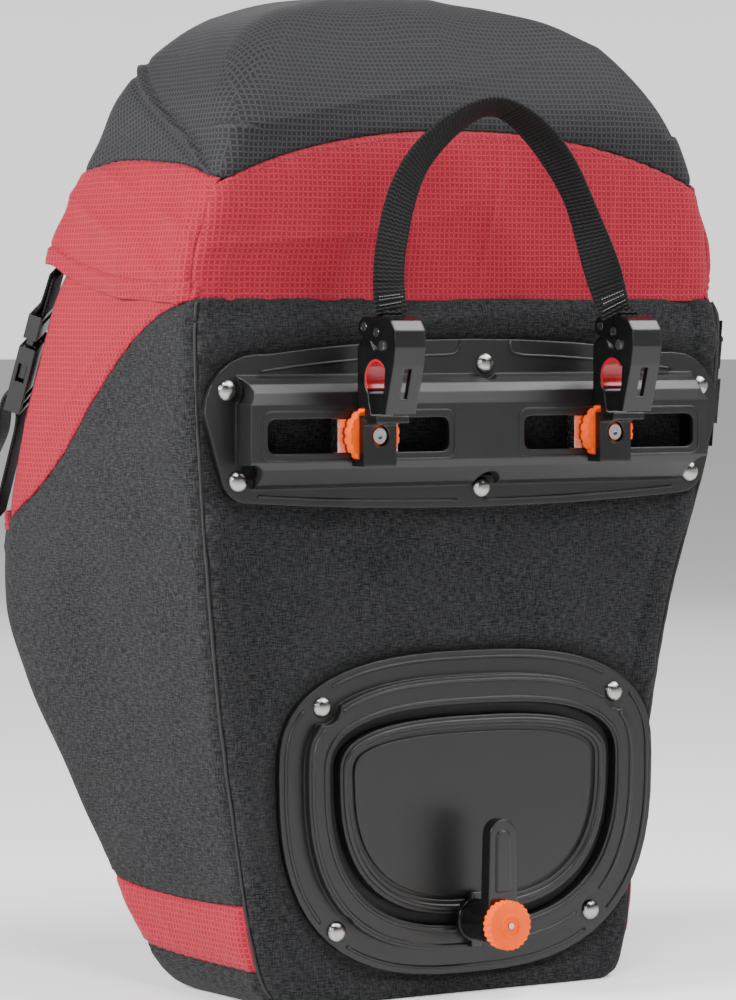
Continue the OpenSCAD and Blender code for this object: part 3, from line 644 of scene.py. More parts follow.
sx, zz = np.meshgrid(np.linspace(-1, 1, count(130)), np.linspace(0, TOP, count(170)), indexing="ij")
hw = half_w(zz, sx) - FRONT_R - 2
xx = sx * hw
d = np.minimum(hw - np.abs(xx), zz + 6)
out = 1.2 * (1 - np.exp(-d / 10)) - 0.9 * np.exp(-d / 1.3) + 1.2 * folds(xx, zz, 15, 34, 110, 205) * (1 - np.exp(-d / 12))
p = np.stack([xx, front_y(zz) + out * (0.2 + 0.8 * step(zz, 225, 245)), zz], -1)
o = sheet("front_panel.cloth", p, np.stack([xx, zz * 1.1], -1), "dark_fabric", 2.4, flip=True)
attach(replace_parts(o, "front_panel"), "root")

pocket_y = smooth([(24, 70), (40, 84), (75, 108), (115, 135), (150, 161), (172, 172), (200, 175), (231, 173)])


def pocket_grid(z0, z1, rows, lift, seed):
    zz = np.linspace(z0, z1, rows)
    m = count(130)
    t = np.linspace(-1, 1, m)
    P = np.zeros((m, rows, 3))
    U = np.zeros((m, rows, 2))
    for k, z in enumerate(zz):
        w, f = half_w(z, t) - 13, float(front_y(z))
        q = f + (float(pocket_y(z)) - f) * float(step(z, 22, 40))
        start, r = f - 8.0, min(14.0, max(1.0, (q - f + 8) * 0.6))
        side_len, arc_len, flat = q - r - start, r * math.pi / 2, w - r
        total = side_len + arc_len + flat
        s = np.abs(t) * total
        x = np.where(s < flat, s, np.where(s < flat + arc_len, flat + r * np.sin(np.clip((s - flat) / r, 0, math.pi / 2)), w))
        y = np.where(s < flat, q, np.where(s < flat + arc_len, q - r + r * np.cos(np.clip((s - flat) / r, 0, math.pi / 2)),
                                           q - r - (s - flat - arc_len)))
        sg = np.sign(t)
        P[:, k] = np.stack([x * sg, y, np.full(m, z)], -1)
        U[:, k] = np.stack([s * sg, np.full(m, z * 1.08)], -1)
    n = normals(P)
    n = -n if n[m // 2, rows // 2, 1] < 0 else n
    d = np.minimum((1 - np.abs(t))[:, None] * 140, (zz - 24)[None] + 0 * U[..., 0])
    out = lift + 1.2 * (1 - np.exp(-np.maximum(d, 0) / 10)) + 1.3 * folds(U[..., 0], U[..., 1], 12, 30, 100, seed) * (1 - np.exp(-d / 14))
    return P + n * out[..., None], U, n


P, U, n = pocket_grid(24, 223, count(120), 0.0, 305)
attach(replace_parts(sheet("front_pocket.cloth", P, U, "dark_fabric", 1.8, flip=True), "front_pocket"), "root")
P, U, n = pocket_grid(222, 231.5, count(10), 0.7, 305)
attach(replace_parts(sheet("pocket_hem.cloth", P, U, "red_fabric", 3.0, flip=True), "pocket_hem"), "root")
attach(stitches("stitch_hem", P[3:-3, 2], n[3:-3, 2], "red_fabric", M["thread_red"], 2.4, 1.6, 0.28), "root")

# ---------- collar inside the lid ----------
m, rows = count(360), count(36)
a = np.linspace(0, 2 * math.pi, m, endpoint=False)
zz = np.linspace(319, 360, rows)
aa, Z = np.meshgrid(a, zz, indexing="ij")


def squircle(a, hx, y0, y1, k):
    cx, sy = np.cos(a), np.sin(a)
    r = (np.abs(cx) ** k + np.abs(sy) ** k) ** (-1 / k)
    return hx * r * cx, (y0 + y1) / 2 + (y1 - y0) / 2 * r * sy


x, y = squircle(aa, 143.0, -41.5, 83.5, 9)
gather = step(Z, 322, 358)
wave = np.sin(aa * 61 + 3 * noise(aa * 9, Z / 30, 401)) * 0.5 + 0.5
shrink = 1 - (0.4 + 1.0 * wave * gather + 0.5 * noise(aa * 12, Z / 12, 402) ** 2) / 100
P = np.stack([x * shrink, 21 + (y - 21) * shrink, Z], -1)
arc = aa * 75
U = np.stack([np.vstack([arc, arc[:1] + 2 * math.pi * 75]), np.vstack([Z, Z[:1]])], -1)
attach(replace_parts(sheet("collar.cloth", P, U, "lining_fabric", 1.2, closed=True), "collar"), "root")
x, y = squircle(a, 142.0, -40.5, 82.5, 9)
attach(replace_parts(tube("collar_cord.hem", np.stack([x, y, 360 + 0.8 * np.sin(a * 61)], -1), 1.9, "lining_fabric", closed=True, sides=10),
                    "collar_cord"), "root")

# ---------- lid ----------
LID_APEX = 488.3
lid_w = smooth([(338, 149), (352, 152), (370, 150.5), (385, 146), (402, 140), (420, 132), (440, 122), (456, 110), (468, 96), (478, 77),
                (485, 52), (488.3, 28)])
lid_rear = smooth([(338, -50.5), (402, -50.5), (420, -50.5), (430, -48.5), (440, -44), (456, -33), (468, -21),
                   (478, -8), (485, 8), (488.3, 22)])
lid_front = smooth([(338, 107), (352, 110), (370, 108), (385, 104), (402, 99), (420, 94), (440, 88), (456, 82), (468, 75), (478, 66),
                    (485, 54), (488.3, 40)])
lid_rad = smooth([(338, 24), (402, 26), (440, 30), (456, 28), (478, 20), (488.3, 6)])


def lid_ring(t, z):
    """Point on the lid: t runs 0..1 right side from the middle of the rear to the middle of the front."""
    w, yr, yf, rf = lid_w(z), lid_rear(z), lid_front(z), lid_rad(z)
    rr = rf * np.where(z > 420, 0.6, 0.42)
    a, b = rr * math.pi / 2, rf * math.pi / 2
    l1, l2, l3 = w - rr, (yf - rf) - (yr + rr), w - rf
    s = t * (l1 + a + l2 + b + l3)
    g1, g2 = np.clip((s - l1) / rr, 0, math.pi / 2), np.clip((s - l1 - a - l2) / rf, 0, math.pi / 2)
    front_x = w - rf + rf * np.cos(g2) - np.maximum(s - l1 - a - l2 - b, 0)
    x = np.where(s < l1, s, np.where(s < l1 + a + l2, w - rr + rr * np.sin(g1), front_x))
    y = np.where(s < l1 + a, yr + rr - rr * np.cos(g1), np.where(s < l1 + a + l2, yr + rr + (s - l1 - a), yf - rf + rf * np.sin(g2)))
    return x, y, s


def flare(p):
    """The left side of the lid stands out further than the right, low down and over the shoulder."""
    z = p[..., 2]
    rear = 1 - 0.8 * step(p[..., 1], 10, 80)
    f = 1 + 0.042 * (1 - step(z, 345, 392)) * rear + 0.04 * step(z, 412, 440) * (1 - step(z, 470, 486))
    p = p.copy()
    p[..., 0] *= np.where(p[..., 0] < 0, f, 1)
    return p


def arch(x):
    """Seam between the red back band and the black lid top."""
    c = np.clip(np.abs(x) / 147, 0, 1)
    return 389 + 32 * np.maximum(1 - c**2.1, 0) ** 0.8


side_seam = smooth([(-60, 389), (-47, 396.5), (-5, 404.5), (45, 407), (76, 403.5), (110, 400)])
side_low = smooth([(-60, 338.5), (-32, 338), (4, 340), (25, 342), (53, 347), (71, 351), (87, 356), (120, 358)])


def lid_height(t, curve):
    lo, hi = np.full_like(t, 336.0), np.full_like(t, 470.0)
    for _ in range(30):
        mid = (lo + hi) / 2
        x, y, _ = lid_ring(t, mid)
        over = mid > curve(x, y)
        lo, hi = np.where(over, lo, mid), np.where(over, mid, hi)
    return (lo + hi) / 2


def low_line(x, y):
    """Hem of the lid's skirts."""
    return side_low(y)


def seam_line(x, y):
    """Lower edge of the black top all the way round."""
    rear = arch(x)
    side = side_seam(y)
    return np.where(y < -49, rear, side)


def both_sides(fun, t, *more):
    """Evaluates on t -1..1 by mirroring."""
    x, y, s = fun(np.abs(t), *more)
    return x * np.sign(t), y, s * np.sign(t)


# black top: a closed ring of columns, rising to the apex
m, rows = count(420), count(150)
t = np.linspace(-1, 1, m, endpoint=False)
z0 = lid_height(np.abs(t), seam_line)
z0 = (np.roll(z0, 1) + 2 * z0 + np.roll(z0, -1)) / 4
v = np.linspace(0, 1, rows)
rise = np.sin(v * math.pi / 2) ** 0.95
zz = z0[:, None] + (LID_APEX - z0)[:, None] * rise[None]
tt = np.repeat(t[:, None], rows, 1)
x, y, s = both_sides(lid_ring, tt, zz)
cap = np.linspace(1, 0.01, count(14))[1:]
xc = x[:, -1:] * cap
yc = 31 + (y[:, -1:] - 31) * cap
zc = LID_APEX + 0.35 * (1 - cap**2) + 0 * xc
X, Y, Z = np.hstack([x, xc]), np.hstack([y, yc]), np.hstack([zz, zc])
P = np.stack([X, Y, Z], -1)
n = normals(P, True)
n = n * np.sign(np.sum(n * (P - [0, 20, 380]), -1, keepdims=True))
edge = np.maximum(Z - z0[:, None], 0)
# rib seams run from the rear corners up over the crown
rib_x = smooth([(-60, 149), (-50, 146), (-22, 139), (15, 131), (46, 124), (67, 119), (100, 108)])
rib_z = smooth([(-60, 388), (-50, 393), (-22, 411), (15, 429), (46, 445), (67, 459), (100, 470)])
band = (Z - rib_z(Y)) * 0.72 + (rib_x(Y) - np.abs(X)) * 0.5
out = 1.3 * (1 - np.exp(-edge / 7)) - 0.9 * np.exp(-edge / 1.2)
out += 1.9 * np.exp(-((band / 1.7) ** 2)) - 1.1 * np.exp(-(((np.abs(band) - 4.0) / 2.0) ** 2))
calm = 1 - np.exp(-edge / 14)
rear_face = step(-Y, -25, 20)
out += calm * (1.3 * folds(X, Z, 12, 30, 120, 501) * rear_face + 1.1 * folds(X, Y, 65, 42, 140, 505) + 0.9 * noise(X / 45, Y / 45, 507))
out += 0.30 * np.exp(-edge / 6) * np.sin(2 * math.pi * s[:, :1] / 8.0 + 2 * noise(s[:, :1] / 30, 0 * s[:, :1], 509))
P = flare(P + n * out[..., None])
P[..., 2] = np.minimum(P[..., 2], 489.6)
zt = np.linspace(380, LID_APEX, 400)


def up_length(curve, z):
    """Length of cloth from z 380 up a lid profile."""
    s = np.concatenate([[0], np.cumsum(np.hypot(np.diff(zt), np.diff(curve(zt))))])
    return np.interp(z, zt, s)


arc_v = up_length(lid_w, Z)
o = sheet("lid_top.cloth", P, np.concatenate([P[..., :2], P[:1, :, :2]], 0), "black_fabric", 1.6, closed=True)
# weave direction: the crown follows x and the length over the top; the side panels follow y and their height
me = o.data
co = np.array([q.co for q in me.vertices], float) * 1000
vv = np.concatenate([arc_v.reshape(-1)] * 2)
rear_v = np.concatenate([up_length(lid_rear, Z).reshape(-1)] * 2)
front_v = np.concatenate([up_length(lid_front, Z).reshape(-1)] * 2)
bandf = np.concatenate([band.reshape(-1)] * 2)
layer = me.uv_layers[0].data
idx = np.zeros(len(me.loops), np.int64)
me.loops.foreach_get("vertex_index", idx)
start = np.zeros(len(me.polygons), np.int64)
me.polygons.foreach_get("loop_start", start)
total = np.zeros(len(me.polygons), np.int64)
me.polygons.foreach_get("loop_total", total)
poly = np.repeat(np.arange(len(start)), total)
crown = np.add.reduceat(bandf[idx], start) / total > 0
face_n = np.zeros(len(me.polygons) * 3)
me.polygons.foreach_get("normal", face_n)
face_n = np.abs(face_n.reshape(-1, 3))
side_face = ((face_n[:, 0] > face_n[:, 1]) & (face_n[:, 0] > face_n[:, 2])) | ~crown
top_face = (face_n[:, 2] >= np.maximum(face_n[:, 0], face_n[:, 1])) & crown
turn_uv = np.where(crown, 0.0, 0.35)[poly]
a0, b0 = co[idx, 1], vv[idx]
uv = np.stack([co[idx, 0], np.where(co[idx, 1] < 20, rear_v[idx], front_v[idx])], -1)
ct, st = np.cos(turn_uv), np.sin(turn_uv)
uv = np.where(side_face[poly][:, None], np.stack([a0 * ct - b0 * st, a0 * st + b0 * ct], -1), uv)
uv = np.where(top_face[poly][:, None], co[idx, :2], uv)
layer.foreach_set("uv", uv.astype(np.float32).ravel())
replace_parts(o, "lid_top")
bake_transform(o)


def lid_part(name, t0, t1, cols, rows, low, high, slot, seed, gathers=None, mirror=1, lift=0.0, thick=2.0):
    t = np.linspace(t0, t1, cols)
    z1 = lid_height(t, high)
    z0 = lid_height(t, low)
    v = np.linspace(0, 1, rows)
    zz = z0[:, None] + (z1 - z0)[:, None] * v[None]
    x, y, s = lid_ring(np.repeat(t[:, None], rows, 1), zz)
    P = np.stack([x, y, zz], -1)
    n = normals(P)
    n = n * np.sign(np.sum(n * (P - [0, 20, 380]), -1, keepdims=True))
    end = np.minimum(s - s[:1], s[-1:] - s)
    d_top, d_low = z1[:, None] - zz, zz - z0[:, None]
    d = np.maximum(np.minimum(d_top, end), 0)
    out = lift + 1.4 * (1 - np.exp(-d / 8)) - 0.9 * np.exp(-d / 1.2)
    out += -0.7 * np.exp(-(((d_low - 9) / 0.9) ** 2)) + 0.5 * (d_low < 8)
    out += 0.35 * np.exp(-d_top / 7) * np.sin(2 * math.pi * s / 8.2 + 2 * noise(s / 30, zz * 0, seed))
    out += gathers(s, y, zz, d_low, end) * (1 - np.exp(-d / 6))
    P = P + n * out[..., None]
    P[..., 0] *= mirror
    P = flare(P)
    uv = np.stack([s, zz], -1)
    flip = mirror < 0
    o = sheet(name, P, uv, slot, thick, flip=flip)
    return o, P, n * [mirror, 1, 1], z0


def skirt_gathers(seed):
    def f(s, y, z, dl, end):
        rear = np.exp(-np.maximum(y + 50, 0) / 34)
        r, th = np.hypot(y + 56, z - 336), np.arctan2(z - 336, y + 56)
        g = 1.5 * np.sin(th * 17 + 3 * noise(r / 22, th * 3, seed)) * np.exp(-r / 30) * (1 - np.exp(-r / 6))
        g = g + 1.1 * folds(s, z, 74, 16, 60, seed) * rear + 1.3 * folds(s, z, 20, 24, 90, seed + 3) * (1 - 0.5 * rear)
        return g + 0.8 * noise(s / 40, z / 30, seed + 4)
    return f


probe = np.linspace(0.3, 1, 400)
px, py, _ = lid_ring(probe, np.full(400, 370.0))
T_REAR = float(np.interp(-48.0, py[:200], probe[:200]))
T_FRONT = float(probe[np.argmax((py > 100) & (px < 122))])
for side, tag in ((-1, "left"), (1, "right")):
    o, P, n, _ = lid_part(f"lid_skirt_{tag}.cloth", T_REAR, T_FRONT, count(150), count(60), low_line, seam_line, "red_fabric",
                           601 + side, skirt_gathers(611 + side), mirror=side, lift=0.6)
    row = int(P.shape[1] * 0.15)
    st = stitches(f"stitch_skirt_{tag}", P[3:-3, row], n[3:-3, row], "red_fabric", M["thread_red"], 2.4, 1.6, 0.27)
    for q in (o, st):
        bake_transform(q)
    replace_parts(o, f"lid_skirt_{tag}")
    # binding tape behind the seam, so that no light shows through when the lid is open
    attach(ribbon(f"seam_tape_{tag}", P[4:-4, -1] - n[4:-4, -1] * 2.8, unit(P[4:-4, -1] - P[4:-4, -4]), 8, 0.7, "webbing", edge=0.3,
                   material=M["thread"]), "lid")


def front_gathers(s, y, z, dl, end):
    return 1.0 * folds(s, z, 10, 26, 90, 631) + 0.6 * noise(s / 40, z / 30, 632)


half, P, n, _ = lid_part("tmp", T_FRONT, 1.0, count(90), count(50), low_line, seam_line, "red_fabric", 641,
                         front_gathers, lift=0.6)
bpy.data.objects.remove(half)
P = flare(np.concatenate([P, P[::-1][1:] * [-1, 1, 1]]))
uv = np.stack([P[..., 0], P[..., 2]], -1)
o = sheet("lid_skirt_front.cloth", P, uv, "red_fabric", 2.0)
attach(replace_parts(o, "lid_skirt_front"), "lid")
nn = np.concatenate([n, n[::-1][1:] * [-1, 1, 1]])
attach(stitches("stitch_skirt_front", P[3:-3, 8], nn[3:-3, 8], "red_fabric", M["thread_red"], 2.4, 1.6, 0.27), "lid")

# red back band, sewn to the back panel; gathered behind the handle
sx, v = np.meshgrid(np.linspace(-1, 1, count(230)), np.linspace(0, 1, count(80)), indexing="ij")
xx = sx * 150.0
z0, z1 = 338.6 + 0 * xx, arch(xx)
zz = z0 + (z1 - z0) * v
hw = lid_w(zz)
xx = sx * (hw - 1.5)
z1 = arch(xx)
zz = z0 + (z1 - z0) * v
d_top, d_low = z1 - zz, zz - z0
d_end = hw - 1.5 - np.abs(xx)
d = np.minimum(np.minimum(d_top, d_low + 2), d_end)
vert = 2.6 * folds(xx, zz, 86, 17, 140, 651) * np.exp(-((np.abs(xx + 58) / 50) ** 2))
vert = vert + 1.8 * folds(xx, zz, 76, 18, 90, 655) * np.exp(-((np.abs(xx - 50) / 40) ** 2))
ends = 1.4 * folds(xx, zz, 70, 15, 70, 657) * np.exp(-d_end / 30)
tops = 0.32 * np.exp(-d_top / 6) * np.sin(2 * math.pi * xx / 8.1 + 2 * noise(xx / 30, 0 * xx, 659))
inner = 1 - np.exp(-d / 9)
out = 2.2 * inner - 0.9 * np.exp(-d / 1.2) + (vert + ends + 0.8 * folds(xx, zz, 8, 30, 120, 661)) * inner + tops
out += 1.3 * np.exp(-((d_low / 3.0) ** 2))
round_end = 5.0 * np.exp(-d_end / 4.0)
P = flare(np.stack([xx, -50.6 - out + round_end, zz], -1))
o = sheet("back_band.cloth", P, np.stack([xx, zz], -1), "red_fabric", 2.0)
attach(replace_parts(o, "back_band"), "root")
for k, nm in ((3, "low"), (-4, "top")):
    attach(stitches(f"stitch_band_{nm}", P[6:-6, k], (0, -1, 0), "red_fabric", M["thread_red"], 2.4, 1.6, 0.25), "root")


# ---------- straps at the front corners ----------
def corner(side, pts):
    """From the strap's own frame (x across, y outwards, z up the strap) to the row frame."""
    p = np.asarray(pts, float).reshape(-1, 3)
    a, b = math.radians(45), math.radians(28)
    x, y, z = p[:, 0] * math.cos(a) - p[:, 1] * math.sin(a), p[:, 0] * math.sin(a) + p[:, 1] * math.cos(a), p[:, 2]
    y, z = y * math.cos(b) - z * math.sin(b), y * math.sin(b) + z * math.cos(b)
    c = math.radians(-6 if side > 0 else 0)
    x, z = x * math.cos(c) + z * math.sin(c), -x * math.sin(c) + z * math.cos(c)
    return np.stack([(x - 152) * -side, y + 93.3, z + 334], -1)


def corner_dir(side, d):
    return (corner(side, [d]) - corner(side, [[0, 0, 0]]))[0]


for side, tag in ((-1, "left"), (1, "right")):
    across = corner_dir(side, [1, 0, 0])
    lead = [(0, -0.5, -118), (0, -0.4, -100), (0, -0.2, -80), (0, 0.2, -62), (0, 2.2, -53), (0, 4.6, -50.2), (0, 6.2, -48)]
    o = ribbon(f"strap_{tag}.lead", corner(side, curve_through(lead, 60)), across, 20, 1.7, "webbing")
    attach(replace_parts(o, f"strap_{tag}"), "root")
    tail = [(0, 6.4, -44.5), (0, 9.4, -48), (0.3, 10.4, -55), (0.8, 9.6, -64), (1.2, 8.4, -76), (0.8, 10.2, -90), (-0.6, 12.6, -104),
            (-1.6, 12.2, -113), (-2.2, 9.8, -121)]
    o = ribbon(f"strap_{tag}.tail", corner(side, curve_through(tail, 90)), across, 20, 1.7, "webbing", material=M["strap_webbing"])
    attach(o, "root")
    bar = corner(side, [(x, 11.6, -116.5) for x in np.linspace(-8, 8, 12)])
    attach(stitches(f"strap_{tag}.bartack", bar, corner_dir(side, [0, 1, 0.2]), "webbing", M["thread"], 1.2, 0.3, 0.4), "root")
    loop = [(0, 2.2, 22), (0, 2.6, 12), (0, 3.4, 4), (0, 5.4, -1.6), (0, 5.6, -4.2), (0, 3.6, -6.4),
            (0, 1.4, -4.6), (0, 0.9, 0), (0, 0.6, 9), (0, 0.4, 20)]
    o = ribbon(f"lid_webbing_{tag}.loop", corner(side, curve_through(loop, 70)), across, 19, 1.5, "webbing")
    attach(o, "lid")
    if side < 0:
        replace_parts(o, "lid_webbing")

# ---------- carrying handle ----------
hx = [(-69, 331.8), (-70.5, 345), (-69.5, 362), (-64, 385), (-55, 403), (-41, 417), (-24, 427.5), (-9, 431), (5, 426.5),
      (19.5, 415), (31.5, 400.5), (40.5, 385), (48, 368), (54, 353), (58.5, 341), (62.5, 331.8)]
path = curve_through([(a, -88.5, b) for a, b in hx], count(150))
k = np.linspace(0, 1, len(path))
turn = np.radians(np.interp(k, [0, 0.2, 0.36, 0.5, 0.62, 0.74, 0.86, 0.93, 1], [0, 6, 38, 74, 62, 78, 38, 10, 0]))
turn = np.convolve(np.pad(turn, 6, mode="edge"), np.ones(13) / 13, mode="valid")
tang = unit(np.gradient(path, axis=0))
flat = np.stack([tang[:, 2], 0 * k, -tang[:, 0]], -1)
across = flat * np.cos(turn)[:, None] + np.array([0, 1.0, 0]) * np.sin(turn)[:, None]
mid = len(path) // 2
for tag, a, b in (("left", 0, mid + 1), ("right", mid, len(path))):
    sg = -1 if tag == "left" else 1
    low = int(np.argmin(np.abs(path[a:b, 2] - 346))) + a
    upper, lower = ((low, b), (a, low + 1)) if tag == "left" else ((a, low + 1), (low, b))
    o = ribbon(f"carry_handle_{tag}.webbing", path[slice(*upper)], across[slice(*upper)], 18, 1.7, "webbing")
    end = ribbon(f"carry_handle_{tag}.end", path[slice(*lower)], across[slice(*lower)], 18, 1.7, "webbing")
    rows = []
    for zt in (336.5, 339, 341.5):
        i = int(np.argmin(np.abs(path[a:b, 2] - zt))) + a
        c, w = path[i], across[i]
        rows.append(stitches(f"handle_tack_{tag}_{int(zt)}", [c + w * q + [0, -0.95, 0] for q in (-7, -3, 0, 3, 7)], (0, -1, 0), "webbing",
                             M["thread_light"], 1.0, 0.4, 0.22))
    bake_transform(o)
    for q in [end] + rows:
        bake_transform(q)
    if tag == "left":
        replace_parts(o, "carry_handle")
    cx = sg * 69.0
    loop = ((0.9, 10.5), (1.0, 6), (1.4, 3), (2.9, 0), (1.4, -2.9), (-1.2, -2.6), (-2.9, 0), (-1.4, 3), (-1.0, 6),
            (-0.9, 10.5))
    end = [(cx, -88.5 + dy, 323.5 + dz) for dy, dz in loop]
    o = ribbon(f"strap_end_{tag}.webbing", curve_through(end, 60), (1, 0, 0), 11, 1.5, "webbing")
    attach(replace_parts(o, f"strap_end_{tag}"), f"latch_{tag}")


# ---------- rings round the clamp screws and on the arm's knob ----------
def ring(name, centre, radius, r, slot):
    a = np.linspace(0, 2 * math.pi, 40, endpoint=False)
    pts = np.stack([centre[0] + radius * np.cos(a), np.full_like(a, centre[1]), centre[2] + radius * np.sin(a)], -1)
    return tube(name, pts, r, slot, closed=True, sides=10, up=(0, 1, 0))


for sg, tag in ((-1, "left"), (1, "right")):
    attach(ring(f"screw_ring_{tag}", (sg * 69.0, -76.6, 274.25), 4.3, 0.5, "orange_plastic"), f"hook_{tag}")
low, high = (np.array(v) * 1000 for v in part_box("arm_knob"))
face = (low + high) / 2
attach(ring("knob_ring", (face[0], low[1] - 0.1, face[2]), 5.2, 0.6, "orange_plastic"), "arm_knob")
# ---------- zip on the right ----------
def zip_frame(pts):
    p = np.asarray(pts, float).reshape(-1, 3)
    a = math.atan(6.5 / 63)
    x = 156.4 + p[:, 0] * math.cos(a) + p[:, 2] * math.sin(a)
    return np.stack([x, -33 + p[:, 1], 300 - p[:, 0] * math.sin(a) + p[:, 2] * math.cos(a)], -1)


for q, name in ((-7.3, "rear"), (7.3, "front")):
    line = zip_frame([(1.2 + 0.15 * math.sin(zc / 9), q, zc) for zc in np.linspace(-35, 29, 40)])
    o = ribbon(f"zip_tape_{name}.cloth", line, (0, 1, 0), 9.6, 1.0, "webbing", edge=0.4)
    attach(o, "root")
    if name == "rear":
        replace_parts(o, "zip_tape")
    st = zip_frame([(1.9, q * 1.15, zc) for zc in np.linspace(-33, 27, 40)])
    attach(stitches(f"zip_stitch_{name}", st, (1, 0, 0), "dark_fabric", M["thread"], 2.4, 1.6, 0.27), "root")
under = zip_frame([(0.3, 0, zc) for zc in np.linspace(-34, 28, 30)])
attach(ribbon("zip_backing", under, (0, 1, 0), 8, 0.6, "webbing", edge=0.3), "root")
# corners of one tooth: the outer face is smaller
TOOTH = [(dx, dy, dz, q) for dx, q in ((-1, 1), (1, 0.7)) for dy, dz in ((-1, -1), (1, -1), (1, 1), (-1, 1))]
verts, faces = [], []
for i, zc in enumerate(np.arange(-31, 25, 1.5)):
    for sg in (-1, 1):
        c0 = np.array([1.1, sg * 0.9, zc + (0.75 if sg > 0 else 0)])
        hx_, hy_, hz_ = 0.75, 1.9, 0.42
        o0 = len(verts)
        for dx, dy, dz, q in TOOTH:
            verts.append(zip_frame([c0 + [dx * hx_, dy * hy_ * q, dz * hz_ * q]])[0])
        for f in ((0, 1, 2, 3), (7, 6, 5, 4), (0, 4, 5, 1), (1, 5, 6, 2), (2, 6, 7, 3), (3, 7, 4, 0)):
            faces.append([o0 + w for w in f[::-1]])
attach(add_mesh("zip_teeth", verts, faces, None, "hook_plastic", smooth_shade=False), "root")

# ---------- raised lines moulded on the plates ----------
RIVET_CLEAR = 9.5
PLATE_RIVETS = ((-86, 144), (86, 144), (-78, 35.5), (72, 35.5))


def rounded(x0, x1, z0, z1, r, n=7):
    pts = []
    for cx, cz, a0 in ((x1 - r, z1 - r, 0), (x0 + r, z1 - r, 90), (x0 + r, z0 + r, 180), (x1 - r, z0 + r, 270)):
        for k in range(n):
            a = math.radians(a0 + 90 * k / (n - 1))
            pts.append((cx + r * math.cos(a), cz + r * math.sin(a)))
    return pts


for sg, tag in ((-1, "left"), (1, "right")):
    a, b = sorted((sg * 19, sg * 128))
    pts = [(x, -68.0, z) for x, z in rounded(a, b, 262.6, 286.0, 5)]
    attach(tube(f"slot_frame_{tag}", pts, 0.6, "plate_plastic", closed=True, sides=10, flat=0.7, up=(0, 1, 0)), "root")
    c = 8 + sg * 15
    line = [(c, -54.0, 319.4), (c, -54.0, 316.2), (c + sg * 1.5, -54.0, 313.4), (c + sg * 4, -54.0, 312.6)]
    line += [(x, -54.0, 312.4 - 7 * (x / 116) ** 2) for x in np.linspace(c + sg * 8, sg * 121, 40)]
    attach(tube(f"flange_line_top_{tag}", line, 0.75, "plate_plastic", sides=8), "root")
    line = [(sg * x, -54.0, 241.6 + 4.5 * (x / 128) ** 2) for x in np.linspace(8, 122, 40)]
    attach(tube(f"flange_line_low_{tag}", line, 0.8, "plate_plastic", sides=8), "root")


def shield(hw, top, bottom, n=160):
    a = np.linspace(0, 2 * math.pi, n, endpoint=False)
    c, s = np.cos(a), np.sin(a)
    h = np.where(s > 0, top - 112, 112 - bottom)
    return np.sign(c) * hw * np.abs(c) ** (2 / 2.7), 112 + np.sign(s) * h * np.abs(s) ** (2 / 2.7)


# Painted shade: a near-black strip laid on the track floor darkens the groove, where the real channel is open and only
# in shade.
x, zc = shield(81.5, 139.5, 37)
shade_strip = np.stack([x, np.full_like(x, -52.6), zc], -1)
shade_strip = np.vstack([shade_strip, shade_strip[:1]])
outward = unit(np.stack([np.gradient(shade_strip[:, 2]), 0 * shade_strip[:, 0], -np.gradient(shade_strip[:, 0])], -1))
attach(ribbon("track_liner", shade_strip, outward, 5.4, 0.3, "board", edge=0.1, material=M["thread"]), "root")

for name, size, y, r in (("shield_rim_out", (106.5, 164.5, 13.5), -54.1, 0.9), ("shield_step_rim", (93.6, 153.6, 24.4), -58.5, 1.0),
                         ("shield_track_rim", (86.6, 144.6, 31.9), -58.5, 1.0), ("island_rim", (75.3, 133.6, 43.2), -58.5, 1.5)):
    x, zc = shield(*size)
    ds = np.minimum.reduce([np.hypot(x - a, zc - b) for a, b in PLATE_RIVETS])
    pts = np.stack([x, np.full_like(x, y), zc], -1)
    if ds.min() > RIVET_CLEAR:
        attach(tube(name, pts, r, "plate_plastic", closed=True, sides=10, flat=0.8, up=(0, 1, 0)), "root")
        continue
    keep = ds > RIVET_CLEAR
    first = int(np.argmax(~keep))
    keep, pts = np.roll(keep, -first), np.roll(pts, -first, 0)
    run, part = [], 0
    for k in range(len(keep) + 1):
        if k < len(keep) and keep[k]:
            run.append(pts[k])
        elif run:
            if len(run) > 3:
                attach(tube(f"{name}_{part}", run, r, "plate_plastic", sides=10, flat=0.8, up=(0, 1, 0)), "root")
                part += 1
            run = []

# ---------- materials for the CAD parts that are shown ----------
for row in frame["record"]["subparts"]:
    o = frame["nodes"][row["node"]]
    o.data.materials.clear()
    o.data.materials.append(M[row["material_slot"]])

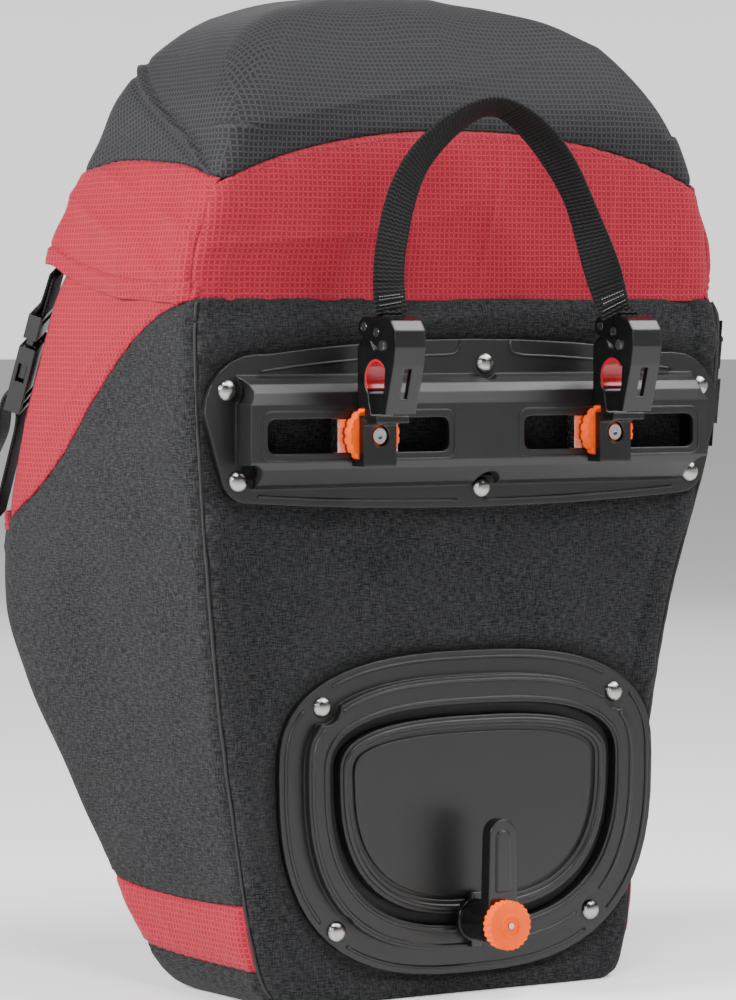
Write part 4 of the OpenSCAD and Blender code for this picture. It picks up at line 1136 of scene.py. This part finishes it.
# ---------- floor and light ----------
s = Shader("floor")
co = s.node("TexCoord").outputs["Object"]
s.set(Base_Color=s.mix(s.noise(co, 3.0, 4.0), (0.80, 0.80, 0.80), (0.84, 0.84, 0.84)), Roughness=0.9, Specular_IOR_Level=0.1,
      Emission_Color=(1.0, 1.0, 1.0), Emission_Strength=0.36)
bpy.ops.mesh.primitive_circle_add(vertices=96, radius=30, fill_type="NGON", location=(0, 0, 0))
floor = bpy.context.object
floor.name = "floor"
floor.data.materials.append(s.m)

world = bpy.data.worlds.new("studio")
bpy.context.scene.world = world
world.use_nodes = True
tree = world.node_tree
direction = tree.nodes.new("ShaderNodeTexCoord")
split = tree.nodes.new("ShaderNodeSeparateXYZ")
height = tree.nodes.new("ShaderNodeMapRange")
height.interpolation_type = "SMOOTHSTEP"
for key, value in (("From Min", 0.05), ("From Max", 0.2), ("To Min", 1.35), ("To Max", 0.06)):
    height.inputs[key].default_value = value
tree.links.new(direction.outputs["Generated"], split.inputs[0])
tree.links.new(split.outputs[2], height.inputs["Value"])
bg = tree.nodes["Background"]
bg.inputs[0].default_value = (1.0, 1.0, 1.0, 1)
tree.links.new(height.outputs[0], bg.inputs[1])


def area(name, place, aim, size, power, colour=(1, 1, 1)):
    light = bpy.data.lights.new(name, "AREA")
    light.shape = "RECTANGLE"
    light.size, light.size_y = size
    light.energy = power
    light.color = colour
    o = bpy.data.objects.new(name, light)
    bpy.context.scene.collection.objects.link(o)
    o.location = place
    o.rotation_euler = (Vector(aim) - Vector(place)).to_track_quat("-Z", "Y").to_euler()


area("key_left", (-2.6, 0.2, 1.35), (0, 0.05, 0.26), (0.9, 1.3), 165)
area("top_right", (0.75, -0.65, 1.45), (0, -0.05, 0.36), (1.5, 0.9), 38)
area("top_soft", (-0.5, -0.9, 2.0), (0, 0, 0.36), (0.6, 0.5), 22)
area("strip_left", (-1.9, -2.3, 1.0), (0, 0, 0.25), (0.25, 1.4), 12)
area("front_fill", (1.0, 2.4, 1.3), (0, 0, 0.25), (1.2, 1.0), 14)
